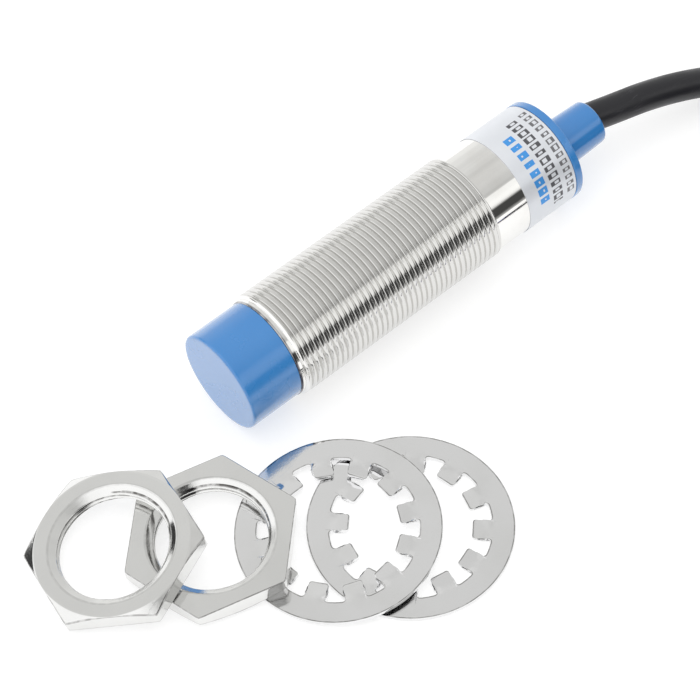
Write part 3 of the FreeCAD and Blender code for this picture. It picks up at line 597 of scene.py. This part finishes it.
def hexagon_reach(angle, flats, easing=26.0):
    """The distance from the middle to a hexagon's side, its six corners a little worn.

    It is flats / 2 / cos(angle from the side's middle), eased into the worn corner's
    distance where it would pass that.
    """
    turn = np.mod(angle, np.pi / 3) - np.pi / 6
    reach = flats / 2 / np.cos(turn)
    corner = flats / math.sqrt(3) - 0.08
    return -np.log(np.exp(-easing * (reach - corner)) + 1) / easing + corner


def nut_mesh(name, chamfer_side):
    """A flat hexagon nut about its own middle.

    Its section at each angle runs up the threaded bore, out over the upper face to the
    hexagon's side, down it, and back under the lower face. One face's corners are cut
    by a cone of 30 degrees. The bore's radius is the thread's, or the countersink's
    where that is wider. The map's u is how deep a point lies in the bore's thread,
    and its v is how dark the painted shade along its edge is, from 0 off the edges to 1.
    """
    half, inset = NUT["thick"] / 2, MOUTH_BAND * CONE
    fine = np.linspace(-1, 1, 21)
    side_angles = np.pi / 6 + np.pi / 6 * np.sign(fine) * np.abs(fine) ** 0.7
    angle = (np.arange(6)[:, None] * np.pi / 3 + side_angles[:-1]).ravel()
    reach = hexagon_reach(angle, NUT["flats"])
    cone_drop, no_drop = np.maximum(reach - NUT["chamfer"], 0) * CONE, 0 * reach
    upper_drop, lower_drop = (cone_drop, no_drop) if chamfer_side > 0 else (no_drop, cone_drop)
    upper_edge, lower_edge = (
        np.minimum(reach - 0.02, NUT["chamfer"]) if drop is cone_drop else reach - 0.3
        for drop in (upper_drop, lower_drop)
    )
    outline = (
        (NUT["mouth"] - MOUTH_BAND, half - inset),
        (NUT["mouth"], half),
        (upper_edge, half),
        (reach, half - upper_drop),
        (reach, lower_drop - half),
        (lower_edge, -half),
        (NUT["mouth"], -half),
        (NUT["mouth"] - MOUTH_BAND, inset - half),
    )
    corners = np.stack([np.stack([r + no_drop, z + no_drop], -1) for r, z in outline])
    rows = eased_corners(corners, (0.02, *[NUT["edge"]] * 6, 0.02))
    per_corner = len(rows) // len(corners)
    outside = rows[per_corner - 1 : -per_corner + 1]
    height = np.linspace(inset - half, half - inset, 47)[1:-1]
    z, a = np.meshgrid(height[::-1], angle, indexing="ij")
    share = np.mod((z - a / (2 * np.pi)) / THREAD["pitch"], 1.0)
    groove = 0.5 - 0.5 * np.cos(2 * np.pi * share)
    threaded = NUT["minor"] + (THREAD["major"] - NUT["minor"]) * groove**0.75
    countersink = NUT["mouth"] - (half - np.abs(z)) / CONE
    bore = np.stack([np.maximum(threaded, countersink), z], -1)[::-1]
    section = np.concatenate([bore, outside])
    radius, z = section[..., 0], section[..., 1]
    points = np.stack([radius * np.cos(angle), radius * np.sin(angle), z], -1)
    depth, edge = np.zeros_like(radius), np.zeros_like(radius)
    depth[: len(bore)] = np.where(threaded > countersink, groove, 0)[::-1]
    # Painted shade along the nut's edges, kept in the map's v: each curved edge row takes its
    # edge's level.
    corner, on_curve = np.divmod(np.arange(len(rows)), per_corner)
    worn = np.array(NUT_EDGE_SHADE)[corner] * ((on_curve > 0) & (on_curve < per_corner - 1))
    edge[len(bore) :] = worn[per_corner - 1 : -per_corner + 1, None]
    return grid_mesh(name, points, close_rows=True, uv=np.stack([depth, edge], -1))


def washer_mesh(name):
    """A stamped washer's middle sheet, given its thickness and its worn edges after.

    For one tooth, an outline in (across the tooth, distance from the middle) steps from
    the root circle down the tooth's side, over its tip and back, its corners rounded.
    Each of its points is joined to a point on the outer circle by a straight row, and
    the twelve copies close the ring. The tooth's plane is turned about its own length by
    the twist: height = across x tan(twist), eased in over its root. The map's u is the
    distance in millimetres to the nearer edge, and its v the distance from the middle.
    """
    half, root, tip = WASHER["tooth"] / 2, WASHER["root"], WASHER["tip"]
    pitch = 2 * np.pi / WASHER_TEETH
    gap_end, outer_end = (r * math.sin(pitch / 2) for r in (root, WASHER["outer"]))
    flare = 0.2 * half
    outline = rounded_outline(
        [(-gap_end, root), (-half, root), (-half, tip), (half, tip), (half, root), (gap_end, root)],
        (0, TOOTH_ROOT_ROUND, TOOTH_TIP_ROUND, TOOTH_TIP_ROUND, TOOTH_ROOT_ROUND, 0),
        steps=6,
        support=1.3,
    )[:-1]
    across, reach = outline.T
    outer_across = np.interp(
        across + flare * np.sign(across) * (reach - tip) / (root - tip),
        (-gap_end - flare, -half - flare, 0, half + flare, gap_end + flare),
        (-outer_end, -half, 0, half, outer_end),
    )
    inner = np.stack([np.sqrt(reach**2 - across**2), across], -1)
    outer = np.stack([np.sqrt(WASHER["outer"] ** 2 - outer_across**2), outer_across], -1)
    share = np.linspace(0, 1, 15)[:, None, None]
    flat = inner * (1 - share) + outer * share
    distance = np.linalg.norm(flat, axis=-1)
    bend = np.clip((root - distance) / (root - tip) / 0.4, 0, 1)
    height = flat[..., 1] * math.tan(math.radians(TOOTH_TWIST)) * bend**2 * (3 - 2 * bend)
    turn = (np.arange(WASHER_TEETH) * pitch)[:, None]
    shape = (len(share), WASHER_TEETH, len(across))
    x, y = (flat[..., k][:, None, :] for k in (0, 1))
    points = np.stack(
        [
            x * np.cos(turn) - y * np.sin(turn),
            x * np.sin(turn) + y * np.cos(turn),
            np.broadcast_to(height[:, None, :], shape),
        ],
        -1,
    )
    length = np.linalg.norm(outer - inner, axis=-1)
    from_edge = np.minimum(share, 1 - share)[..., 0] * length
    uv = np.broadcast_to(np.stack([from_edge, distance], -1)[:, None], (*shape, 2))
    piece = grid_mesh(name, points.reshape(len(share), -1, 3), uv=uv.reshape(len(share), -1, 2))
    if piece.data.polygons[0].normal.z < 0:
        piece.data.flip_normals()
    thickness = piece.modifiers.new("thickness", "SOLIDIFY")
    thickness.thickness = WASHER["thick"] * MM
    thickness.offset = 0
    edges = piece.modifiers.new("worn_edges", "BEVEL")
    edges.width = WASHER["edge"] * MM
    edges.segments = 3
    edges.limit_method = "ANGLE"
    edges.angle_limit = math.radians(50)
    return piece


nuts = {"right_nut": nut_mesh("right_hex_nut", -1), "left_nut": nut_mesh("left_hex_nut", 1)}
washers = {
    "right_washer": washer_mesh("right_tooth_washer"),
    "left_washer": washer_mesh("left_tooth_washer"),
}
for part_name, piece in {**nuts, **washers}.items():
    piece.data.transform(loose_matrix(part_name))

# ------------------------------------------------------------------ node groups


class Tree:
    """Short ways to place and join nodes in one tree."""

    def __init__(self, tree):
        self.tree = tree

    def feed(self, node, inputs):
        """Link each input that is given a socket, and set the others."""
        for key, value in inputs.items():
            if isinstance(value, bpy.types.NodeSocket):
                self.tree.links.new(value, node.inputs[key])
            else:
                node.inputs[key].default_value = value

    def node(self, kind, inputs=None, **settings):
        made = self.tree.nodes.new(kind)
        for key, value in settings.items():
            setattr(made, key, value)
        self.feed(made, inputs or {})
        return made

    def math(self, operation, a, b=0.0):
        return self.node("ShaderNodeMath", {0: a, 1: b}, operation=operation).outputs[0]

    def plus(self, a, b):
        return self.math("ADD", a, b)

    def minus(self, a, b):
        return self.math("SUBTRACT", a, b)

    def times(self, a, b):
        return self.math("MULTIPLY", a, b)

    def within(self, value, limit):
        """1 where a value is less than the limit either way from 0, and 0 elsewhere."""
        return self.math("LESS_THAN", self.math("ABSOLUTE", value), limit)

    def ramp(self, value, low, high, to_low=0.0, to_high=1.0):
        """From one level to another as a value goes from low to high, eased at both ends."""
        given = {"From Min": low, "From Max": high, "To Min": to_low, "To Max": to_high}
        made = self.node(
            "ShaderNodeMapRange", {"Value": value, **given}, interpolation_type="SMOOTHSTEP"
        )
        return made.outputs[0]

    def noise(self, vector, scale, detail=3.0, roughness=0.55):
        made = self.node(
            "ShaderNodeTexNoise",
            {"Vector": vector, "Scale": scale, "Detail": detail, "Roughness": roughness},
        )
        return made.outputs["Fac"]

    def mix(self, factor, a, b, blend="MIX"):
        """Two colours blended, each of them a socket or three numbers."""
        a, b = (c if isinstance(c, bpy.types.NodeSocket) else (*c, 1.0) for c in (a, b))
        made = self.node(
            "ShaderNodeMix", {0: factor, 6: a, 7: b}, data_type="RGBA", blend_type=blend
        )
        return made.outputs[2]

    def group(self, group, inputs):
        return self.node("ShaderNodeGroup", inputs, node_tree=group).outputs

    def split(self, vector):
        return self.node("ShaderNodeSeparateXYZ", {0: vector}).outputs

    def own_map(self):
        """The u and v of the piece's own map."""
        return self.split(self.node("ShaderNodeUVMap", uv_map="UVMap").outputs[0])

    def where(self):
        return self.node("ShaderNodeTexCoord").outputs["Object"]


def new_group(name, inputs, outputs):
    """A shader node group, as its tree, its given sockets and the node for its results.

    Every result is a number, and so is every input but a None, which is a vector.
    """
    group = bpy.data.node_groups.new(name, "ShaderNodeTree")
    for key, value in inputs.items():
        kind = "NodeSocketVector" if value is None else "NodeSocketFloat"
        socket = group.interface.new_socket(key, in_out="INPUT", socket_type=kind)
        if value is not None:
            socket.default_value = value
    for key in outputs:
        group.interface.new_socket(key, in_out="OUTPUT", socket_type="NodeSocketFloat")
    t = Tree(group)
    return t, t.node("NodeGroupInput").outputs, t.node("NodeGroupOutput")


def handling_marks_group():
    """Fine scuffs and dulled patches left by handling: long thin scratches from noise
    stretched along one way, and soft patches from wide noise."""
    t, given, results = new_group(
        "handling_marks",
        {"Vector": None, "Patch Scale": 180.0, "Scratch Scale": 900.0, "Amount": 0.5},
        ("Patches", "Scratches", "Height"),
    )
    patches = t.ramp(t.noise(given["Vector"], given["Patch Scale"], 4.0), 0.42, 0.68)
    stretched = t.node(
        "ShaderNodeVectorMath", {0: given["Vector"], 1: (0.12, 1.0, 0.6)}, operation="MULTIPLY"
    ).outputs[0]
    lines = t.noise(stretched, given["Scratch Scale"], 2.0, 0.5)
    ridge = t.math("ABSOLUTE", t.minus(lines, 0.5))
    scratches = t.times(t.ramp(ridge, 0.012, 0.0), patches)
    t.feed(
        results,
        {
            "Patches": t.times(patches, given["Amount"]),
            "Scratches": t.times(scratches, given["Amount"]),
            "Height": t.minus(t.times(patches, 0.3), scratches),
        },
    )
    return t.tree


def turned_rings_group():
    """Fine rings left by turning: noise that changes only along the barrel."""
    t, given, results = new_group(
        "turned_rings", {"Vector": None, "Rings Per Metre": 9000.0}, ("Height",)
    )
    along = t.node("ShaderNodeCombineXYZ", {0: t.split(given["Vector"])[0]}).outputs[0]
    t.feed(results, {"Height": t.noise(along, given["Rings Per Metre"], 3.0, 0.6)})
    return t.tree


def printed_row_group():
    """One printed row: plain hollow blocks of changing width between two edges.

    The row is cut into equal cells round the label. In each cell stands a block of the
    cell's own random width. A slit is left clear in it, one stroke narrower each side
    and at a random height, so that the row reads as print from afar and says nothing
    from near.
    """
    t, given, results = new_group(
        "printed_row",
        {
            "Around": 0.0,
            "Along": 0.0,
            "Low Edge": 0.0,
            "High Edge": 1.0,
            "Start": -5.0,
            "End": 5.0,
            "Cell": 1.0,
            "Stroke": 0.2,
            "Seed": 0.0,
        },
        ("Ink",),
    )
    around, low, high, cell = (given[key] for key in ("Around", "Low Edge", "High Edge", "Cell"))
    cells = t.math("DIVIDE", t.minus(around, given["Start"]), cell)
    number = t.math("FLOOR", cells)
    across = t.times(t.minus(t.minus(cells, number), 0.5), cell)
    random, other = (
        t.node(
            "ShaderNodeTexWhiteNoise",
            {"W": t.plus(t.times(number, 1.7), t.plus(given["Seed"], shift))},
            noise_dimensions="1D",
        ).outputs["Value"]
        for shift in (0.0, 57.3)
    )
    half_height = t.times(t.minus(high, low), 0.5)
    above = t.minus(given["Along"], t.times(t.plus(high, low), 0.5))
    half_width = t.times(cell, t.plus(0.24, t.times(random, 0.16)))
    block = t.times(t.within(across, half_width), t.within(above, half_height))
    lift = t.times(t.minus(other, 0.5), t.times(half_height, 0.5))
    slit_height = t.minus(t.times(half_height, 0.62), given["Stroke"])
    slit_width = t.minus(half_width, given["Stroke"])
    slit = t.times(t.within(across, slit_width), t.within(t.minus(above, lift), slit_height))
    after = t.math("GREATER_THAN", around, given["Start"])
    before = t.math("LESS_THAN", around, given["End"])
    ink = t.times(block, t.minus(1.0, slit))
    t.feed(results, {"Ink": t.times(ink, t.times(after, before))})
    return t.tree


HANDLING = handling_marks_group()
RINGS = turned_rings_group()
PRINTED_ROW = printed_row_group()

# ------------------------------------------------------------------ materials


def new_material(name, **sockets):
    """A material with one Principled shader, its plain numbers set on its own sockets."""
    material = bpy.data.materials.new(name)
    material.use_nodes = True
    tree = material.node_tree
    shader = tree.nodes["Principled BSDF"]
    for key, value in sockets.items():
        shader.inputs[key.replace("_", " ")].default_value = value
    return material, Tree(tree), shader


def bumped(t, shader, height, strength, distance):
    """Relief from a height, as a bump over the given distance in metres."""
    bump = t.node(
        "ShaderNodeBump", {"Height": height, "Strength": strength, "Distance": distance}
    )
    t.feed(shader, {"Normal": bump.outputs[0]})


def handled(t, where, patch, scratch, amount):
    """The marks of handling, at a scale of patches and one of scratches."""
    return t.group(
        HANDLING,
        {"Vector": where, "Patch Scale": patch, "Scratch Scale": scratch, "Amount": amount},
    )


def uneven(t, where, scale, low=0.45, high=1.0):
    """A strength that noise breaks up between two levels."""
    return t.ramp(t.noise(where, scale), 0.35, 0.6, low, high)


def plated_metal(name, colour, dull, low, high, rings=0.0, grain=0.0, patch=160.0, shades=()):
    """Nickel plate: a mirror whose roughness and tint drift in soft patches, with fine
    scratches, turning rings on the barrel and a blasted grain on stamped parts. shades
    pairs masks over the surface with the darker tints that they bring."""
    material, t, shader = new_material(name, Metallic=1.0)
    where = t.where()
    marks = handled(t, where, patch, 700.0, 1.0)
    tint = t.mix(marks["Patches"], colour, dull)
    rough = t.ramp(marks["Patches"], 0.0, 1.0, low, high)
    rough = t.plus(rough, t.times(marks["Scratches"], 0.10))
    for mask, dark in shades:
        tint = t.mix(mask(t, where), tint, dark)
    t.feed(shader, {"Base Color": tint, "Roughness": rough})
    height = t.times(marks["Height"], 0.2)
    if rings:
        ring = t.group(RINGS, {"Vector": where, "Rings Per Metre": 7000.0})["Height"]
        height = t.plus(height, t.times(ring, rings))
    if grain:
        pits = t.noise(where, 2600.0, 4.0, 0.6)
        height = t.plus(height, t.times(pits, grain))
    bumped(t, shader, height, 0.3, 0.00004)
    return material


def threaded_stretch(t, where):
    """The barrel's threaded stretch, where the plate's tint is darker than on the smooth rear."""
    along = t.split(where)[0]
    started = t.ramp(along, (THREAD["start"] + 0.2) * MM, (THREAD["start"] + 0.6) * MM)
    ended = t.ramp(along, (THREAD["end"] - 0.3) * MM, THREAD["end"] * MM, 1.0, 0.0)
    return t.times(started, ended)


def painted_crevice_shade(t, where):
    """Painted shade: a dark line where the cap meets the lip, standing in for the shade in the
    crevice there, broken up by noise.
    """
    along = t.split(where)[0]
    close = t.ramp(along, (LIP["start"] + 0.22) * MM, (LIP["start"] + 0.42) * MM, 1.0, 0.0)
    return t.times(close, uneven(t, where, 260.0))


def painted_thread_shade(t, where):
    """Painted shade in a nut's thread, stronger in its roots, and thin painted shade along
    its edges; both are broken up by noise."""
    depth, edge = t.own_map()[:2]
    painted_shade = t.math("MAXIMUM", t.ramp(depth, 0.15, 0.6), t.times(edge, 0.6))
    return t.times(painted_shade, uneven(t, where, 900.0))


def painted_edge_shade(t, where):
    """Painted shade: a dark line just inside a washer's edges, standing in for the shade along
    them.
    """
    from_edge = t.own_map()[0]
    line = t.times(t.ramp(from_edge, 0.03, 0.08), t.ramp(from_edge, 0.15, 0.24, 1.0, 0.0))
    return t.times(line, uneven(t, where, 700.0, 0.3, 0.9))


def moulded_plastic(name, colour, pale, rough):
    """Moulded plastic: a fine sparkle of texture, soft colour drift, rubbed patches."""
    material, t, shader = new_material(
        name, Roughness=rough, IOR=1.5, Coat_Weight=1.0, Coat_Roughness=0.18, Coat_IOR=1.55
    )
    where = t.where()
    marks = handled(t, where, 140.0, 800.0, 0.5)
    tint = t.mix(t.ramp(t.noise(where, 60.0), 0.35, 0.65, 0.0, 0.35), colour, pale)
    tint = t.mix(t.times(marks["Scratches"], 0.15), tint, pale)
    worn = t.plus(rough - 0.04, t.times(marks["Patches"], 0.16))
    t.feed(shader, {"Base Color": tint, "Roughness": worn})
    pits = t.times(t.noise(where, 3200.0, 2.0), 0.5)
    bumped(t, shader, t.plus(pits, t.times(marks["Scratches"], -0.4)), 0.1, 0.00004)
    return material


def jacket_vinyl(name, colour, dusty, rough):
    """Cable vinyl: drawn smooth, with faint flecks of dust, fine scuffs and soft dents."""
    material, t, shader = new_material(name, IOR=1.48)
    where = t.where()
    marks = handled(t, where, 220.0, 1100.0, 1.0)
    dust = t.ramp(t.noise(where, 2400.0, 5.0, 0.7), 0.62, 0.76, 0.0, 0.3)
    tint = t.mix(dust, colour, dusty)
    tint = t.mix(t.times(marks["Scratches"], 0.5), tint, dusty)
    worn = t.plus(rough, t.times(marks["Patches"], 0.14))
    t.feed(shader, {"Base Color": tint, "Roughness": worn})
    dents = t.plus(t.noise(where, 350.0, 2.0), t.times(marks["Height"], 0.2))
    bumped(t, shader, dents, 0.12, 0.0001)
    return material


# The label's printed rows: edges along the barrel, start and end round it, the width of a
# cell and of a stroke, the seed of its random widths, and its ink.
PRINT = (
    ((2.35, 4.15), (-1.0, 12.3), 1.66, 0.42, 3.0, (0.06, 0.30, 0.72)),
    ((4.95, 6.85), (-3.2, 13.9), 1.37, 0.17, 11.0, (0.09, 0.09, 0.10)),
    ((7.8, 9.2), (-3.6, 13.6), 1.32, 0.14, 23.0, (0.16, 0.16, 0.17)),
)


def label_print():
    """Silver-white film with three printed rows of plain blocks round the barrel."""
    material, t, shader = new_material("label_film_print", IOR=1.5, Metallic=0.35)
    where = t.where()
    around, along = t.own_map()[:2]
    film = t.mix(t.ramp(t.noise(where, 90.0), 0.35, 0.7), (0.68, 0.70, 0.74), (0.72, 0.74, 0.78))
    for (low, high), (start, end), cell, stroke, seed, ink in PRINT:
        row = {
            "Around": around,
            "Along": along,
            "Low Edge": low,
            "High Edge": high,
            "Start": start,
            "End": end,
            "Cell": cell,
            "Stroke": stroke,
            "Seed": seed,
        }
        film = t.mix(t.group(PRINTED_ROW, row)["Ink"], film, ink)
    sheen = t.ramp(t.noise(where, 300.0, 4.0), 0.3, 0.7, 0.28, 0.38)
    t.feed(shader, {"Base Color": film, "Roughness": sheen})
    return material


def plain_speckle(name, colour, other, rough, metallic=0.0, scale=900.0):
    """A quiet two-tone grain for the small parts inside the barrel."""
    material, t, shader = new_material(name, Metallic=metallic)
    fleck = t.ramp(t.noise(t.where(), scale, 4.0), 0.35, 0.65)
    worn = t.ramp(fleck, 0.0, 1.0, rough - 0.06, rough + 0.06)
    t.feed(shader, {"Base Color": t.mix(fleck, colour, other), "Roughness": worn})
    bumped(t, shader, fleck, 0.15, 0.00004)
    return material


def wound_copper():
    """Enamelled winding: close turns as a fine wave along the axis."""
    material, t, shader = new_material("enamelled_turns", Metallic=1.0, Roughness=0.28)
    wave = t.node(
        "ShaderNodeTexWave", {"Vector": t.where(), "Scale": 2200.0, "Distortion": 0.4}
    ).outputs["Fac"]
    t.feed(shader, {"Base Color": t.mix(wave, (0.42, 0.16, 0.06), (0.78, 0.40, 0.20))})
    bumped(t, shader, wave, 0.5, 0.00006)
    return material


def tinted_lens():
    """The status light's tinted lens: a warm clear resin with a milky core."""
    material, t, shader = new_material("lens_amber", IOR=1.54, Roughness=0.12, Coat_Weight=0.6)
    cloud = t.ramp(t.noise(t.where(), 700.0), 0.4, 0.7)
    t.feed(shader, {"Base Color": t.mix(cloud, (0.75, 0.25, 0.03), (0.85, 0.38, 0.08))})
    return material


# The threaded stretch is tinted darker, and a line of painted shade darkens the lip where the cap
# meets it.
barrel_plate = plated_metal(
    "barrel_nickel",
    (0.88, 0.875, 0.86),
    (0.84, 0.83, 0.81),
    0.035,
    0.06,
    rings=0.15,
    shades=((threaded_stretch, (0.70, 0.695, 0.68)), (painted_crevice_shade, (0.07, 0.07, 0.09))),
)
# Painted shade: the nuts' thread roots and edges are tinted dark.
nut_plate = plated_metal(
    "nut_nickel",
    (0.80, 0.80, 0.79),
    (0.76, 0.76, 0.75),
    0.08,
    0.15,
    grain=0.5,
    patch=90.0,
    shades=((painted_thread_shade, (0.14, 0.135, 0.13)),),
)
# Painted shade: a dark line just inside the washers' edges.
washer_plate = plated_metal(
    "washer_nickel",
    (0.84, 0.84, 0.845),
    (0.80, 0.80, 0.80),
    0.07,
    0.13,
    grain=0.4,
    patch=90.0,
    shades=((painted_edge_shade, (0.25, 0.245, 0.24)),),
)
blue_plastic = moulded_plastic("blue_moulding", (0.022, 0.185, 0.49), (0.045, 0.225, 0.54), 0.26)
black_vinyl = jacket_vinyl("jacket_black", (0.012, 0.012, 0.015), (0.06, 0.06, 0.07), 0.34)
strap_plastic = moulded_plastic("strap_black", (0.02, 0.02, 0.022), (0.06, 0.06, 0.06), 0.45)
brown_vinyl = jacket_vinyl("lead_brown_vinyl", (0.11, 0.045, 0.02), (0.16, 0.09, 0.05), 0.38)
blue_vinyl = jacket_vinyl("lead_blue_vinyl", (0.015, 0.07, 0.36), (0.05, 0.13, 0.42), 0.38)
black_lead_vinyl = jacket_vinyl("lead_black_vinyl", (0.012,) * 3, (0.05,) * 3, 0.38)
tinned = plain_speckle("tinned_wire", (0.62, 0.62, 0.62), (0.74, 0.74, 0.73), 0.30, 1.0, 2500.0)
copper = wound_copper()
ferrite = plain_speckle("sintered_ferrite", (0.03, 0.03, 0.035), (0.07, 0.07, 0.075), 0.7)
package = plain_speckle("moulding_compound", (0.012, 0.012, 0.013), (0.025, 0.025, 0.026), 0.6)

NODE_MATERIALS = {
    "ferrite_core": ferrite,
    "coil_bobbin": moulded_plastic("bobbin_moulding", (0.70, 0.66, 0.52), (0.78, 0.75, 0.64), 0.5),
    "coil_winding": copper,
    "coil_leads": copper,
    "led_leads": tinned,
    "circuit_board": plain_speckle("board_laminate", (0.01, 0.10, 0.04), (0.015, 0.14, 0.06), 0.4),
    "chip_resistors": plain_speckle("resistor_glaze", (0.012, 0.012, 0.014), (0.03,) * 3, 0.35),
    "chip_capacitors": plain_speckle("capacitor_tan", (0.33, 0.20, 0.10), (0.42, 0.27, 0.15), 0.5),
    "protection_diodes": package,
    "control_chip": package,
    "control_chip_pins": tinned,
    "output_transistor": package,
    "transistor_pins": tinned,
    "solder_joints": tinned,
    "brown_lead_inside": brown_vinyl,
    "blue_lead_inside": blue_vinyl,
    "black_lead_inside": black_lead_vinyl,
    "potting_resin": plain_speckle("casting_resin", (0.05, 0.03, 0.02), (0.08, 0.05, 0.03), 0.25),
    "cable_inner_end": black_vinyl,
    "status_led": tinted_lens(),
}


def finish_with(piece, material):
    """Give a piece one material in place of any it has."""
    piece.data.materials.clear()
    piece.data.materials.append(material)


for node_name, material in NODE_MATERIALS.items():
    finish_with(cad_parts[node_name], material)

# ------------------------------------------------------------------ riding

SENSOR_PIECES = (
    (tube, "threaded_barrel", "nickel_plate", barrel_plate),
    (front_cap, "sensing_cap", "blue_cap", blue_plastic),
    (end_cap, "rear_cap", "blue_cap", blue_plastic),
    (label, "label_sleeve", "label_film", label_print()),
    (cable, "cable", "cable_jacket", black_vinyl),
    *((tie, "coil_ties", "tie_strap", strap_plastic) for tie in ties),
    (leads["brown_lead_tail"][1], "brown_lead_tail", "lead_brown", brown_vinyl),
    (leads["blue_lead_tail"][1], "blue_lead_tail", "lead_blue", blue_vinyl),
    (leads["black_lead_tail"][1], "black_lead_tail", "lead_black", black_lead_vinyl),
    *((tip, "tinned_tips", "tinned_metal", tinned) for tip in tips),
)
for piece, node, slot_name, material in SENSOR_PIECES:
    finish_with(piece, material)
    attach(piece, "sensor")
    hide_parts(node)
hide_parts("cable_coil", "cable_tail")
for pieces, slot_name, material in (
    (nuts, "nut_plate", nut_plate),
    (washers, "washer_plate", washer_plate),
):
    for body_name, piece in pieces.items():
        finish_with(piece, material)
        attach(piece, body_name)
        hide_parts(body_name)

# ------------------------------------------------------------------ table and light


def table_top():
    """A plain pale table: a wide flat sheet just under everything."""
    half, step = 2.0, 0.5
    across = np.arange(-half, half + step / 2, step) / MM
    x, y = np.meshgrid(across, across, indexing="ij")
    sheet = np.stack([x, y, np.full_like(x, FLOOR - 0.02)], -1)
    floor = grid_mesh("table_top", sheet, close_columns=False)
    if floor.data.polygons[0].normal.z < 0:
        floor.data.flip_normals()
    material, t, shader = new_material(
        "table_white", Roughness=0.7, Emission_Color=(1, 1, 1, 1), Emission_Strength=0.62
    )
    drift = t.ramp(t.noise(t.where(), 3.0, 2.0), 0.3, 0.7)
    t.feed(shader, {"Base Color": t.mix(drift, (0.42, 0.42, 0.42), (0.44, 0.44, 0.44))})
    finish_with(floor, material)


table_top()

# Brightness of the room round the barrel's axis: degrees from straight up towards -Y,
# and how bright it is there.
ROOM = (
    (-180, 1.05),
    (-107, 0.98),
    (-88, 0.92),
    (-60, 0.85),
    (-42, 0.80),
    (-23, 0.75),
    (-5, 0.72),
    (14, 0.70),
    (23, 0.665),
    (35.5, 0.58),
    (38, 0.66),
    (40, 1.12),
    (59, 1.18),
    (64, 0.90),
    (66.5, 0.30),
    (68.5, 0.065),
    (84, 0.06),
    (88.5, 0.35),
    (92, 0.60),
    (100, 0.82),
    (125, 0.92),
    (163, 1.05),
    (180, 1.05),
)
# Screens of the room: the direction towards each, the cosine where it starts and where
# it is full, and its brightness. The first is a large window beyond the sensing face.
SCREENS = (
    ((-1.0, 0.0, 0.25), 0.25, 0.55, 1.2),
    ((-0.40, 0.91, 0.10), 0.972, 0.985, 0.05),
    ((-0.06, -0.60, 0.80), 0.978, 0.99, 0.04),
)


def room_light():
    """A white room with a soft bright strip above the near side and a dark gap below it.

    Dark and bright screens stand in it: where the cosine between a direction and a
    screen's own is high enough, the screen takes the room's place.
    """
    world = bpy.data.worlds.new("studio")
    bpy.context.scene.world = world
    world.use_nodes = True
    t = Tree(world.node_tree)
    background = world.node_tree.nodes["Background"]
    way = t.node("ShaderNodeTexCoord").outputs["Generated"]
    split = t.node("ShaderNodeSeparateXYZ", {0: way}).outputs
    turn = t.math("ARCTAN2", t.times(split[1], -1.0), split[2])
    share = t.plus(t.math("DIVIDE", turn, 2 * math.pi), 0.5)
    ramp = t.node("ShaderNodeValToRGB", {"Fac": share})
    ramp.color_ramp.interpolation = "LINEAR"
    elements = ramp.color_ramp.elements
    while len(elements) > 1:
        elements.remove(elements[-1])
    for number, (degrees, level) in enumerate(ROOM):
        position = (degrees + 180) / 360
        spot = elements[0] if number == 0 else elements.new(position)
        spot.position = position
        spot.color = (level, level, level * 0.985, 1)
    drift = t.ramp(t.noise(way, 2.6, 2.0), 0.35, 0.65, 0.93, 1.05)
    room = t.mix(1.0, ramp.outputs["Color"], drift, "MULTIPLY")
    for direction, start, full, level in SCREENS:
        near = t.node(
            "ShaderNodeVectorMath",
            {0: way, 1: tuple(Vector(direction).normalized())},
            operation="DOT_PRODUCT",
        ).outputs["Value"]
        room = t.mix(t.ramp(near, start, full), room, (level, level, level))
    t.feed(background, {"Color": room, "Strength": 1.0})


room_light()


def soft_light(name, place, aim, size, power):
    """A wide soft lamp turned towards a point, and left out of the metal's reflections."""
    data = bpy.data.lights.new(name, "AREA")
    data.shape = "RECTANGLE"
    data.size, data.size_y = size
    data.energy = power
    lamp = link(name, data)
    lamp.matrix_world = Matrix.Translation(Vector(place)) @ (
        Vector(place) - Vector(aim)
    ).to_track_quat("Z", "Y").to_matrix().to_4x4()
    data.cycles.is_caustics_light = False
    lamp.visible_glossy = False


soft_light("soft_top", (0.1, 0.1, 1.3), (0.04, -0.02, 0), (1.6, 1.6), 9.0)

bpy.context.scene.view_settings.view_transform = "Standard"
